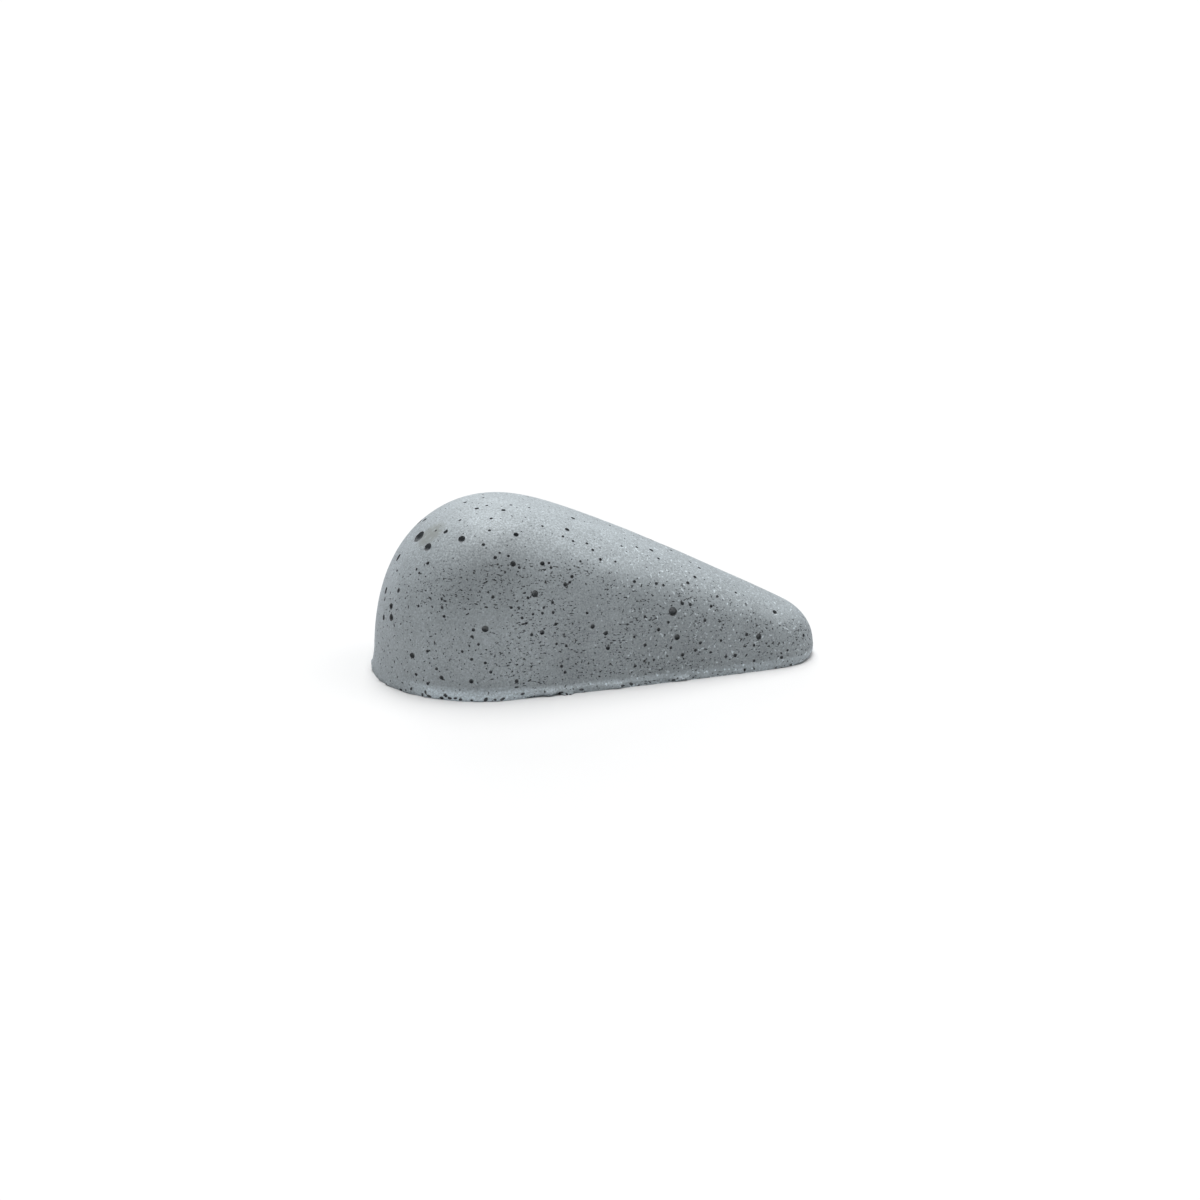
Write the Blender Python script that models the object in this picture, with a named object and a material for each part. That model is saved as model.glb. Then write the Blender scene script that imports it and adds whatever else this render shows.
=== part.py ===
"""Pumice foot stone: a teardrop dome cast in one piece, lying on its flat face.

The stone lies along X, with its wide end towards -X and its narrow tip towards +X. It is a mirror
image about the plane y = 0, apart from its pits and crumbs. The flat face is the plane z = 0, and
the origin is the middle of the box round the stone, at that plane. Every length is in metres.
"""

import math
import random
from typing import NamedTuple

import bmesh
import bpy
import numpy as np
from mathutils import Euler, Matrix, Vector, noise
from mathutils.bvhtree import BVHTree

# Driving dimensions
LENGTH = 0.1109  # over the lip
HEIGHT = 0.0425
WIDE_RADIUS = 0.027  # of the outline at the wide end, without the lip
TIP_RADIUS = 0.013  # of the outline at the tip, without the lip
WIDE_LIP = 0.00075  # how far the flared lip stands out round the wide end
TIP_LIP = 0.00015  # and round the tip
APEX = -0.0237  # the X of the highest point

# The ridge falls from the apex to the tip as a hyperbola, and each end is rounded over
RIDGE_SLOPE = 0.5
RIDGE_EASE = 0.0073
WIDE_BULGE, WIDE_BLUNTNESS = 2.0, 2.55
TIP_ROUND = 0.0065
TIP_BULGE, TIP_BLUNTNESS = 2.3, 4.0

# A cross-section is a superellipse, fuller at the flank than at the shoulder
SECTION_BULGE, SECTION_BLUNTNESS = 2.55, 4.0

# The lip: (height, share of the lip's width), from the flat face up to where the plain skin starts
LIP_PROFILE = (
    (0.0, -0.2),
    (0.0004, 0.6),
    (0.0011, 1.0),
    (0.0019, 0.9),
    (0.0028, 0.5),
    (0.0038, 0.2),
    (0.0050, 0.0),
)
CHIP_MIDDLE = -0.014  # where the lip has broken off on the -Y side
CHIP_LENGTH = 0.013
CHIP_DEPTH = 0.0004

# The mesh: columns round the outline and rows up the skin above the lip
COLUMNS = 96
ROWS = 16
MERIDIAN_STEPS = 400

# The skin swells by a tenth of a millimetre here and there, and the lip crumbles more finely
SWELL, SWELL_PITCH = 0.00012, 0.012
CRUMB, CRUMB_PITCH = 0.00028, 0.0027

# Bubbles: a sphere sunk below the skin by half its radius leaves an undercut pit
SUNK = 0.5
FINE_BUBBLE = 0.0008  # a mouth smaller than this gets a plainer sphere
CLEARANCE = 0.0003  # between two bubbles
SEED = 27

FAR_PITS = 34
FAR_MOUTHS = 0.0003, 0.0012
RIM_PITS = 8
RIM_MOUTHS = 0.0003, 0.0006
BASE_PORES = 18
BASE_MOUTHS = 0.0004, 0.0013
BASE_MARGIN = 0.004  # pores keep this far in from the outline
RESTING_SPOT = 0.006  # and this far from the middle of the flat face

STONE_COLOUR = (0.33, 0.355, 0.37, 1.0)
STONE_ROUGHNESS = 0.95
SMOOTH_UNDER = math.radians(32)
WELD = 1e-6


class Pit(NamedTuple):
    """A bubble that broke at the skin."""

    along: float  # metres along the length
    around: float  # degrees round the section: 0 at the -Y edge, 90 on the ridge, 180 at the +Y edge
    mouth: float  # radius of the opening, in metres


# The pits that mark the -Y side, from the wide end to the tip
NEAR_PITS = (
    Pit(-0.0526, 63.5, 0.0006),
    Pit(-0.0517, 79.0, 0.0008),
    Pit(-0.0510, 55.0, 0.0008),
    Pit(-0.0509, 61.0, 0.0007),
    Pit(-0.0491, 63.5, 0.0005),
    Pit(-0.0483, 88.5, 0.0009),
    Pit(-0.0466, 26.5, 0.00065),
    Pit(-0.0433, 84.5, 0.0015),
    Pit(-0.0422, 63.5, 0.0004),
    Pit(-0.0418, 71.5, 0.0009),
    Pit(-0.0413, 99.0, 0.0006),
    Pit(-0.0400, 12.5, 0.00045),
    Pit(-0.0374, 74.0, 0.00055),
    Pit(-0.0340, 67.0, 0.00085),
    Pit(-0.0331, 10.5, 0.00045),
    Pit(-0.0315, 93.0, 0.0004),
    Pit(-0.0296, 34.0, 0.0007),
    Pit(-0.0293, 83.0, 0.00047),
    Pit(-0.0291, 62.5, 0.00033),
    Pit(-0.0276, 45.0, 0.00033),
    Pit(-0.0231, 79.0, 0.00045),
    Pit(-0.0224, 55.5, 0.0006),
    Pit(-0.0222, 9.5, 0.0004),
    Pit(-0.0210, 66.0, 0.00057),
    Pit(-0.0174, 46.5, 0.00075),
    Pit(-0.0158, 32.5, 0.0005),
    Pit(-0.0152, 56.5, 0.0005),
    Pit(-0.0102, 12.5, 0.00033),
    Pit(-0.0098, 50.5, 0.00045),
    Pit(-0.0080, 73.0, 0.0005),
    Pit(-0.0056, 84.0, 0.0005),
    Pit(-0.0033, 35.5, 0.0005),
    Pit(-0.0006, 62.0, 0.00034),
    Pit(0.0000, 32.5, 0.00046),
    Pit(0.0005, 25.0, 0.00045),
    Pit(0.0076, 55.5, 0.00035),
    Pit(0.0133, 35.0, 0.00038),
    Pit(0.0135, 78.5, 0.0005),
    Pit(0.0170, 44.5, 0.001),
    Pit(0.0180, 31.0, 0.00066),
    Pit(0.0194, 19.5, 0.0004),
    Pit(0.0195, 49.0, 0.0004),
    Pit(0.0196, 93.0, 0.0004),
    Pit(0.0215, 61.0, 0.0004),
    Pit(0.0227, 22.5, 0.00036),
    Pit(0.0237, 67.0, 0.0004),
    Pit(0.0330, 17.0, 0.00038),
    Pit(0.0392, 32.5, 0.00065),
    Pit(0.0440, 56.0, 0.0005),
    Pit(0.0515, 38.5, 0.00035),
)


class Bubble(NamedTuple):
    """A sphere to cut from the stone."""

    centre: Vector
    radius: float


# The outline in plan: an arc at each end and a straight side between them
WIDE_CENTRE = -LENGTH / 2 + WIDE_LIP + WIDE_RADIUS
TIP_CENTRE = LENGTH / 2 - TIP_LIP - TIP_RADIUS
WIDE_END = WIDE_CENTRE - WIDE_RADIUS
TIP_END = TIP_CENTRE + TIP_RADIUS
SIDE_NORMAL = math.acos((WIDE_RADIUS - TIP_RADIUS) / (TIP_CENTRE - WIDE_CENTRE))
SIDE_FROM = WIDE_CENTRE + WIDE_RADIUS * math.cos(SIDE_NORMAL)
SIDE_TO = TIP_CENTRE + TIP_RADIUS * math.cos(SIDE_NORMAL)


def rounded_over(share, bulge, bluntness):
    """0 to 1 along a superellipse, as share goes from 0 at its edge to 1 at its top."""
    share = np.clip(share, 0, 1)
    return (1 - (1 - share) ** bulge) ** (1 / bluntness)


def half_width(x):
    """Half the width of the outline at x."""
    wide = np.sqrt(np.maximum(WIDE_RADIUS**2 - (x - WIDE_CENTRE) ** 2, 0))
    tip = np.sqrt(np.maximum(TIP_RADIUS**2 - (x - TIP_CENTRE) ** 2, 0))
    ends = np.array([WIDE_RADIUS, TIP_RADIUS]) * math.sin(SIDE_NORMAL)
    side = np.interp(x, (SIDE_FROM, SIDE_TO), ends)
    return np.where(x < SIDE_FROM, wide, np.where(x > SIDE_TO, tip, side))


def ridge_height(x):
    """Height of the skin above the flat face, along the middle."""
    past_apex = np.maximum(x - APEX, 0)
    fall = np.sqrt((RIDGE_SLOPE * past_apex) ** 2 + RIDGE_EASE**2) - RIDGE_EASE
    wide_end = rounded_over((x - WIDE_END) / (APEX - WIDE_END), WIDE_BULGE, WIDE_BLUNTNESS)
    tip_end = rounded_over((TIP_END - x) / TIP_ROUND, TIP_BULGE, TIP_BLUNTNESS)
    return (HEIGHT - fall) * wide_end * tip_end


def skin_height(x, y):
    """Height of the skin at a point in plan."""
    inwards = 1 - np.abs(y) / np.maximum(half_width(x), WELD)
    return ridge_height(x) * rounded_over(inwards, SECTION_BULGE, SECTION_BLUNTNESS)


def outline(share):
    """Points of the outline and their outward directions, for shares of the way round from the tip."""
    tip_arc = SIDE_NORMAL * TIP_RADIUS
    side = (TIP_CENTRE - WIDE_CENTRE) * math.sin(SIDE_NORMAL)
    wide_arc = (math.pi - SIDE_NORMAL) * WIDE_RADIUS
    half = tip_arc + side + wide_arc
    gone = np.minimum(share, 1 - share) * 2 * half
    angle = np.where(
        gone < tip_arc + side,
        np.minimum(gone / TIP_RADIUS, SIDE_NORMAL),
        SIDE_NORMAL + (gone - tip_arc - side) / WIDE_RADIUS,
    )
    on_side = np.clip((gone - tip_arc) / side, 0, 1)
    centre = TIP_CENTRE + (WIDE_CENTRE - TIP_CENTRE) * on_side
    radius = TIP_RADIUS + (WIDE_RADIUS - TIP_RADIUS) * on_side
    hand = np.where(share > 0.5, -1.0, 1.0)
    outward = np.stack([np.cos(angle), hand * np.sin(angle)], axis=-1)
    points = outward * radius[:, None]
    points[:, 0] += centre
    return points, outward


def lip_width(points):
    """How far the lip stands out beside each point of the outline."""
    width = np.interp(points[:, 0], (SIDE_FROM, SIDE_TO), (WIDE_LIP, TIP_LIP))
    across = np.abs(points[:, 0] - CHIP_MIDDLE) / (CHIP_LENGTH / 2)
    chip = CHIP_DEPTH * np.clip(1.5 - 1.5 * across**2, 0, 1)
    return width - np.where(points[:, 1] < 0, chip, 0)


def points_along(climbs, runs, distances):
    """The point of each climb at its own distance along it."""
    found = [
        [np.interp(distance, run, climb[:, axis]) for axis in range(3)]
        for climb, run, distance in zip(climbs, runs, distances)
    ]
    return np.array(found)


def skin_rows():
    """The rings of points up the stone, from the flat face to the ridge, each (COLUMNS + 1, 3)."""
    edge, outward = outline(np.linspace(0, 1, COLUMNS + 1))
    # Each column climbs in plan to the nearest point of the spine, a line under the ridge
    spine = np.zeros_like(edge)
    spine[:, 0] = np.clip(edge[:, 0], APEX, TIP_CENTRE)
    steps = np.linspace(0, 1, MERIDIAN_STEPS) ** 4
    plan = edge[:, None] + (spine - edge)[:, None] * steps[None, :, None]
    heights = skin_height(plan[..., 0], plan[..., 1])
    climbs = np.concatenate([plan, heights[..., None]], axis=-1)
    lengths = np.linalg.norm(np.diff(climbs, axis=1), axis=-1)
    runs = np.pad(np.cumsum(lengths, axis=1), ((0, 0), (1, 0)))

    lip = outward * lip_width(edge)[:, None]
    rows = []
    for level, share in LIP_PROFILE:
        begin = np.array([np.interp(level, *column) for column in zip(heights, runs)])
        ring = points_along(climbs, runs, begin)
        ring[:, :2] += lip * share
        ring[:, 2] = level
        rows.append(ring)
    for row in range(1, ROWS + 1):
        rows.append(points_along(climbs, runs, begin + (runs[:, -1] - begin) * row / ROWS))
    return rows


def stone_body():
    """The stone without its pits: a flat grid wrapped round it, welded at its seam and its ridge."""
    rows = skin_rows()
    bm = bmesh.new()
    bmesh.ops.create_grid(bm, x_segments=COLUMNS, y_segments=len(rows) - 1, size=0.5)
    for vertex in bm.verts:
        column = round((vertex.co.x + 0.5) * COLUMNS)
        row = round((vertex.co.y + 0.5) * (len(rows) - 1))
        vertex.co = rows[row][column]
    bmesh.ops.remove_doubles(bm, verts=bm.verts, dist=WELD)
    bmesh.ops.contextual_create(bm, geom=[edge for edge in bm.edges if edge.is_boundary])
    bmesh.ops.recalc_face_normals(bm, faces=bm.faces)
    roughen(bm)
    bmesh.ops.triangulate(bm, faces=[face for face in bm.faces if len(face.verts) == 4])
    return bm


def roughen(bm):
    """Lets the skin swell and crumbles the lip. The flat face stays flat."""
    bm.normal_update()
    lip_top = LIP_PROFILE[-1][0]
    for vertex in bm.verts:
        in_lip = 1 - min(vertex.co.z / lip_top, 1)
        push = SWELL * noise.noise(vertex.co / SWELL_PITCH)
        push += CRUMB * in_lip * noise.noise(vertex.co / CRUMB_PITCH)
        offset = vertex.normal * push
        offset.z *= 1 - in_lip
        vertex.co += offset


def bubble_at(point, normal, mouth):
    """The bubble whose opening at a point of the skin has this radius."""
    radius = mouth / math.sqrt(1 - SUNK**2)
    return Bubble(point - normal * SUNK * radius, radius)


def skin_bubble(body, pit):
    """The bubble of a pit, found by looking outwards from the middle of the flat face."""
    turn = math.radians(pit.around)
    outwards = Vector((0, -math.cos(turn), math.sin(turn)))
    start = Vector((pit.along, 0, 0)) + outwards * WIDE_LIP
    point, normal, _, _ = body.ray_cast(start, outwards)
    return bubble_at(point, normal, pit.mouth)


def add_clear(bubbles, bubble):
    """Adds a bubble if it stays clear of the others, and says whether it did."""
    for other in bubbles:
        apart = (other.centre - bubble.centre).length
        if apart < other.radius + bubble.radius + CLEARANCE:
            return False
    bubbles.append(bubble)
    return True


def small_mostly(rng, mouths):
    """A random radius between the two given, with many small ones and few large ones."""
    smallest, largest = mouths
    return smallest + (largest - smallest) * rng.random() ** 3


def far_pit(rng):
    """A pit somewhere past the ridge, on the +Y side or an end."""
    along = LENGTH / 2 * 0.985 * math.sin(rng.uniform(-math.pi / 2, math.pi / 2))
    return Pit(along, rng.uniform(97, 172), small_mostly(rng, FAR_MOUTHS))


def rim_pit(rng):
    """A pit in the lip."""
    along = LENGTH / 2 * 0.96 * math.sin(rng.uniform(-math.pi / 2, math.pi / 2))
    around = rng.uniform(3.0, 4.5)
    return Pit(along, rng.choice((around, 180 - around)), small_mostly(rng, RIM_MOUTHS))


def base_bubble(rng):
    """A pore in the flat face, clear of its edge and of the spot that the stone rests on."""
    while True:
        x = rng.uniform(WIDE_END, TIP_END)
        y = rng.uniform(-WIDE_RADIUS, WIDE_RADIUS)
        inside = abs(y) < half_width(x) - BASE_MARGIN
        if inside and math.hypot(x, y) > RESTING_SPOT:
            return bubble_at(Vector((x, y, 0)), Vector((0, 0, -1)), small_mostly(rng, BASE_MOUTHS))


def all_bubbles(body):
    """Every bubble of the stone, none of them touching another."""
    rng = random.Random(SEED)
    bubbles = []
    for pit in NEAR_PITS:
        add_clear(bubbles, skin_bubble(body, pit))
    makers = (
        (FAR_PITS, lambda: skin_bubble(body, far_pit(rng))),
        (RIM_PITS, lambda: skin_bubble(body, rim_pit(rng))),
        (BASE_PORES, lambda: base_bubble(rng)),
    )
    for wanted, make in makers:
        made = 0
        while made < wanted:
            made += add_clear(bubbles, make())
    return bubbles


def bubble_mesh(bubbles):
    """One mesh of all the bubbles, each turned its own way."""
    rng = random.Random(SEED)
    bm = bmesh.new()
    for bubble in bubbles:
        mouth = bubble.radius * math.sqrt(1 - SUNK**2)
        turned = Euler([rng.uniform(0, math.tau) for _ in range(3)]).to_matrix().to_4x4()
        bmesh.ops.create_icosphere(
            bm,
            subdivisions=1 if mouth < FINE_BUBBLE else 2,
            radius=bubble.radius,
            matrix=Matrix.Translation(bubble.centre) @ turned,
        )
    return bm


def new_object(name, bm, collection):
    """An object of this bmesh, in a collection."""
    mesh = bpy.data.meshes.new(name)
    bm.to_mesh(mesh)
    bm.free()
    made = bpy.data.objects.new(name, mesh)
    collection.objects.link(made)
    return made


def new_collection(name):
    """A collection in the scene."""
    made = bpy.data.collections.new(name)
    bpy.context.scene.collection.children.link(made)
    return made


def stone_material():
    """Dull, cool grey pumice cement."""
    material = bpy.data.materials.new("pumice_cement")
    material.use_nodes = True
    shader = material.node_tree.nodes["Principled BSDF"]
    shader.inputs["Base Color"].default_value = STONE_COLOUR
    shader.inputs["Roughness"].default_value = STONE_ROUGHNESS
    shader.inputs["Metallic"].default_value = 0.0
    material.diffuse_color = STONE_COLOUR
    return material


def clear_scene():
    """Removes whatever is in the scene."""
    for old in list(bpy.data.objects):
        bpy.data.objects.remove(old, do_unlink=True)


def main():
    """Builds the stone and cuts its pits."""
    clear_scene()
    parts = new_collection("pumice_foot_stone")
    cutters = new_collection("cutters")
    cutters.hide_render = True

    body = stone_body()
    bubbles = all_bubbles(BVHTree.FromBMesh(body))
    stone = new_object("pumice_stone", body, parts)
    stone.data.materials.append(stone_material())
    stone.data.shade_smooth()
    stone.data.set_sharp_from_angle(angle=SMOOTH_UNDER)

    cutter = new_object("bubbles", bubble_mesh(bubbles), cutters)
    cutter.hide_render = True
    cutter.display_type = "WIRE"
    pits = stone.modifiers.new("pits", "BOOLEAN")
    pits.operation = "DIFFERENCE"
    pits.solver = "EXACT"
    pits.object = cutter


main()
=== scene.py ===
"""The looks of a moulded pumice foot stone: its pitted skin, its crumbly lip and its flat face.

The stone is one casting, so one piece stands for it. Its dome follows a rule, which is wrapped
in a fine grid. Geometry Nodes then let the skin swell, crumble its lip and cut every air bubble.
Lengths are in metres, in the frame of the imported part.
"""

from __future__ import annotations

import logging
import math
from collections.abc import Sequence
from dataclasses import dataclass, field
from enum import Enum
from functools import reduce
from typing import Any, NamedTuple

import bmesh
import bpy
import numpy as np
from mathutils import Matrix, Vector
from mathutils.bvhtree import BVHTree


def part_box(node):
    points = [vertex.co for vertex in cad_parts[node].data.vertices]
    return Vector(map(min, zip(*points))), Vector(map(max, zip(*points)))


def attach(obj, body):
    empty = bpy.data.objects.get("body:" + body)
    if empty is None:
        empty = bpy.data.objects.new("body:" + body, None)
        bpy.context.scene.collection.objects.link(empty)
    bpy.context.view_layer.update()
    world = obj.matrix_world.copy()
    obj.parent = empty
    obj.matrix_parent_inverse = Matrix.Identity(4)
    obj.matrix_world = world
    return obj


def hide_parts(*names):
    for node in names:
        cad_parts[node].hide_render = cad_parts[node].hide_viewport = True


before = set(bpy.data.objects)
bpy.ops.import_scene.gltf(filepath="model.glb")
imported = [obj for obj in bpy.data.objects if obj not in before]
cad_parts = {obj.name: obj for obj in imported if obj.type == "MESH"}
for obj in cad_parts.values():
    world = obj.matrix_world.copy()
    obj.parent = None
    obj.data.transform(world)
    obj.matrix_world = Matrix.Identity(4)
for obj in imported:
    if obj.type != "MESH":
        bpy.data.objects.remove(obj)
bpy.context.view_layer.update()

LOG = logging.getLogger("pumice_stone")
WELD = 1e-6  # points closer than this are one

Colour = tuple[float, float, float]
Feed = Any  # a node's output socket, or a plain value


# ---------------------------------------------------------------------------------------------
# Node graphs
# ---------------------------------------------------------------------------------------------


@dataclass
class Graph:
    """A node graph that is put together one node at a time."""

    tree: bpy.types.NodeTree

    def add(self, kind: str, feeds: dict[str, Feed] | None = None, **settings: Any) -> bpy.types.Node:
        """Adds a node.

        Args:
            kind: The node's type.
            feeds: What goes into its inputs, by the input's name or identifier.
            **settings: The node's own properties.

        Returns:
            The new node.
        """
        node = self.tree.nodes.new(kind)
        for name, value in settings.items():
            setattr(node, name, value)
        for name, feed in (feeds or {}).items():
            self.feed(self.inlet(node, name), feed)
        return node

    def inlet(self, node: bpy.types.Node, name: str) -> bpy.types.NodeSocket:
        """Finds an input.

        Args:
            node: The node that has it.
            name: Its identifier, or the name of an input that is in use.

        Returns:
            The input socket.
        """
        exact = [socket for socket in node.inputs if socket.identifier == name]
        named = [socket for socket in node.inputs if socket.name == name and socket.enabled]
        return (exact or named)[0]

    def outlet(self, node: bpy.types.Node) -> bpy.types.NodeSocket:
        """Finds the first output of a node that is in use."""
        return next(socket for socket in node.outputs if socket.enabled)

    def feed(self, socket: bpy.types.NodeSocket, feed: Feed) -> None:
        """Links an output to an input, or sets the input's value.

        Args:
            socket: The input.
            feed: An output socket, or a value.
        """
        if isinstance(feed, bpy.types.NodeSocket):
            self.tree.links.new(feed, socket)
        else:
            socket.default_value = feed

    def maths(self, operation: str, *terms: Feed) -> bpy.types.NodeSocket:
        """Works out one number.

        Args:
            operation: A Math node's operation.
            *terms: Its numbers, in order.

        Returns:
            The result.
        """
        node = self.tree.nodes.new("ShaderNodeMath")
        node.operation = operation
        for socket, term in zip(node.inputs, terms):
            self.feed(socket, term)
        return node.outputs[0]

    def chain(self, operation: str, *terms: Feed) -> bpy.types.NodeSocket:
        """Works out one number from several, two at a time.

        Args:
            operation: A Math node's operation on two numbers.
            *terms: The numbers, in order.

        Returns:
            The result.
        """
        return reduce(lambda done, term: self.maths(operation, done, term), terms)

    def vector(self, operation: str, **terms: Feed) -> bpy.types.NodeSocket:
        """Works out one vector.

        Args:
            operation: A Vector Math node's operation.
            **terms: a and b for its vectors, and scale for its number.

        Returns:
            The result.
        """
        node = self.tree.nodes.new("ShaderNodeVectorMath")
        node.operation = operation
        places = {"a": node.inputs[0], "b": node.inputs[1], "scale": node.inputs[3]}
        for name, term in terms.items():
            self.feed(places[name], term)
        return node.outputs["Value" if operation in ("LENGTH", "DISTANCE", "DOT_PRODUCT") else "Vector"]

    def between(self, value: Feed, low: float, high: float) -> bpy.types.NodeSocket:
        """Rises smoothly from 0 at one value to 1 at another.

        Args:
            value: The value to judge.
            low: Where the result is 0.
            high: Where the result is 1.

        Returns:
            The result.
        """
        node = self.add("ShaderNodeMapRange", {"Value": value}, interpolation_type="SMOOTHSTEP")
        for name, bound in (("From Min", low), ("From Max", high), ("To Min", 0.0), ("To Max", 1.0)):
            self.inlet(node, name).default_value = bound
        return node.outputs["Result"]

    def fading(self, value: Feed, low: float, high: float) -> bpy.types.NodeSocket:
        """Falls smoothly from 1 at one value to 0 at another."""
        return self.maths("SUBTRACT", 1.0, self.between(value, low, high))

    def noise(
        self, place: Feed, pitch: float, detail: float = 0.0, swirl: float = 0.0
    ) -> bpy.types.NodeSocket:
        """Cloudy noise from 0 to 1.

        Args:
            place: Where it is read.
            pitch: The size of a cloud, in metres.
            detail: How many finer layers it has.
            swirl: How far the clouds are stirred.

        Returns:
            The noise.
        """
        feeds = {"Vector": place, "Scale": 1.0 / pitch, "Detail": detail, "Distortion": swirl}
        return self.add("ShaderNodeTexNoise", feeds).outputs[0]

    def split(self, place: Feed) -> bpy.types.NodeOutputs:
        """Splits a vector into X, Y and Z."""
        return self.add("ShaderNodeSeparateXYZ", {"Vector": place}).outputs

    def mark(self, name: str) -> bpy.types.NodeSocket:
        """Reads one of the numbers that mark_skin writes on the stone's points."""
        return self.add("ShaderNodeAttribute", attribute_name=name).outputs["Fac"]

    def mix(self, share: Feed, first: Feed, second: Feed) -> bpy.types.NodeSocket:
        """Mixes two colours.

        Args:
            share: How much of the second there is, from 0 to 1.
            first: A colour, or the output of one.
            second: A colour, or the output of one.

        Returns:
            The mixed colour.
        """
        first, second = ((*tint, 1.0) if isinstance(tint, tuple) else tint for tint in (first, second))
        feeds = {"Factor_Float": share, "A_Color": first, "B_Color": second}
        return self.outlet(self.add("ShaderNodeMix", feeds, data_type="RGBA"))


# ---------------------------------------------------------------------------------------------
# The form of the stone
# ---------------------------------------------------------------------------------------------


@dataclass(frozen=True)
class StoneForm:
    """The dome, its outline in plan and its flared lip, worked out from the size of the casting."""

    length: float
    height: float
    wide_lip: float = 0.00075  # how far the lip stands out at the wide end
    tip_lip: float = 0.0  # and at the tip
    wide_share: float = 0.2435  # radius of the wide end's outline, as a share of the length
    tip_share: float = 0.1172  # radius of the tip's outline, as a share of the length
    apex: float = -0.0237  # x of the highest point
    ridge_slope: float = 0.5
    ridge_ease: float = 0.0073
    wide_roundness: tuple[float, float] = (2.0, 2.55)
    tip_round: float = 0.0065
    tip_roundness: tuple[float, float] = (2.3, 4.0)
    section_roundness: tuple[float, float] = (2.55, 4.0)
    side_bulge: float = 0.0005
    ridge_bulge: float = 0.0004
    ridge_bulge_from: float = 0.3  # where it begins, as a share of the apex's x
    lip_widths: tuple[tuple[float, float], ...] = (
        (-0.0550, 0.00060),
        (-0.0350, 0.00105),
        (-0.0050, 0.00100),
        (0.0200, 0.00070),
        (0.0400, 0.00040),
        (0.0500, 0.00025),
        (0.0550, 0.00020),
    )
    tip_tuck: float = 0.0007  # how far the foot is rounded under at the tip
    tuck_from: tuple[float, float] = (0.040, 0.053)
    tuck_height: float = 0.0028
    lip_heights: tuple[tuple[float, float], ...] = ((-0.01, 1.0), (0.03, 0.55), (0.044, 0.6), (0.052, 1.7))
    flare_ends: tuple[float, float] = (-0.053, -0.042)  # the lip is a flare before, and a ledge past them
    lip_profile: tuple[tuple[float, float, float], ...] = (  # height, reach as a ledge, reach as a flare
        (0.0, 0.84, 1.0),
        (0.0003, 0.95, 1.0),
        (0.0007, 1.0, 0.96),
        (0.0011, 0.99, 0.89),
        (0.0014, 0.93, 0.82),
        (0.0016, 0.82, 0.76),
        (0.0018, 0.68, 0.70),
        (0.0021, 0.51, 0.60),
        (0.0025, 0.34, 0.48),
        (0.0030, 0.20, 0.34),
        (0.0036, 0.10, 0.20),
        (0.0043, 0.03, 0.08),
        (0.0052, 0.0, 0.0),
    )

    @property
    def wide_radius(self) -> float:
        """Radius of the outline at the wide end, without the lip."""
        return self.wide_share * self.length

    @property
    def tip_radius(self) -> float:
        """Radius of the outline at the tip, without the lip."""
        return self.tip_share * self.length

    @property
    def wide_centre(self) -> float:
        """X of the middle of the wide end's arc."""
        return -self.length / 2 + self.wide_lip + self.wide_radius

    @property
    def tip_centre(self) -> float:
        """X of the middle of the tip's arc."""
        return self.length / 2 - self.tip_lip - self.tip_radius

    @property
    def side_angle(self) -> float:
        """The direction that the straight side faces, from +X."""
        return math.acos((self.wide_radius - self.tip_radius) / (self.tip_centre - self.wide_centre))

    @property
    def side_span(self) -> tuple[float, float]:
        """X of the two ends of the straight side."""
        cosine = math.cos(self.side_angle)
        return (
            self.wide_centre + self.wide_radius * cosine,
            self.tip_centre + self.tip_radius * cosine,
        )

    @staticmethod
    def rounded_over(share: np.ndarray, roundness: tuple[float, float]) -> np.ndarray:
        """Climbs from 0 to 1 along a superellipse.

        Args:
            share: 0 at the foot of the climb and 1 at its top.
            roundness: The superellipse's two powers.

        Returns:
            The height climbed.
        """
        bulge, bluntness = roundness
        return (1 - (1 - np.clip(share, 0, 1)) ** bulge) ** (1 / bluntness)

    @staticmethod
    def bulge(height: float, share: np.ndarray) -> np.ndarray:
        """Climbs from 0 to a height half way along and falls back to 0."""
        return height * 4 * share * (1 - share)

    def half_width(self, x: np.ndarray) -> np.ndarray:
        """Works out half the width of the outline.

        Args:
            x: Places along the length.

        Returns:
            Half the width at each of them.
        """
        low, high = self.side_span
        wide = np.sqrt(np.maximum(self.wide_radius**2 - (x - self.wide_centre) ** 2, 0))
        tip = np.sqrt(np.maximum(self.tip_radius**2 - (x - self.tip_centre) ** 2, 0))
        ends = np.array([self.wide_radius, self.tip_radius]) * math.sin(self.side_angle)
        along = np.clip((x - low) / (high - low), 0, 1)
        side = ends[0] + (ends[1] - ends[0]) * along + self.bulge(self.side_bulge, along)
        return np.where(x < low, wide, np.where(x > high, tip, side))

    def ridge_height(self, x: np.ndarray) -> np.ndarray:
        """Works out the height of the skin along the middle.

        Args:
            x: Places along the length.

        Returns:
            The height at each of them.
        """
        past = np.maximum(x - self.apex, 0)
        fall = np.sqrt((self.ridge_slope * past) ** 2 + self.ridge_ease**2) - self.ridge_ease
        wide_end = self.wide_centre - self.wide_radius
        tip_end = self.tip_centre + self.tip_radius
        rise = self.rounded_over((x - wide_end) / (self.apex - wide_end), self.wide_roundness)
        drop = self.rounded_over((tip_end - x) / self.tip_round, self.tip_roundness)
        begin = self.ridge_bulge_from * self.apex
        along = np.clip((x - begin) / (tip_end - begin), 0, 1)
        return (self.height - fall + self.bulge(self.ridge_bulge, along)) * rise * drop

    def skin_height(self, x: np.ndarray, y: np.ndarray) -> np.ndarray:
        """Height of the skin at points in plan."""
        inwards = 1 - np.abs(y) / np.maximum(self.half_width(x), WELD)
        return self.ridge_height(x) * self.rounded_over(inwards, self.section_roundness)

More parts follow.
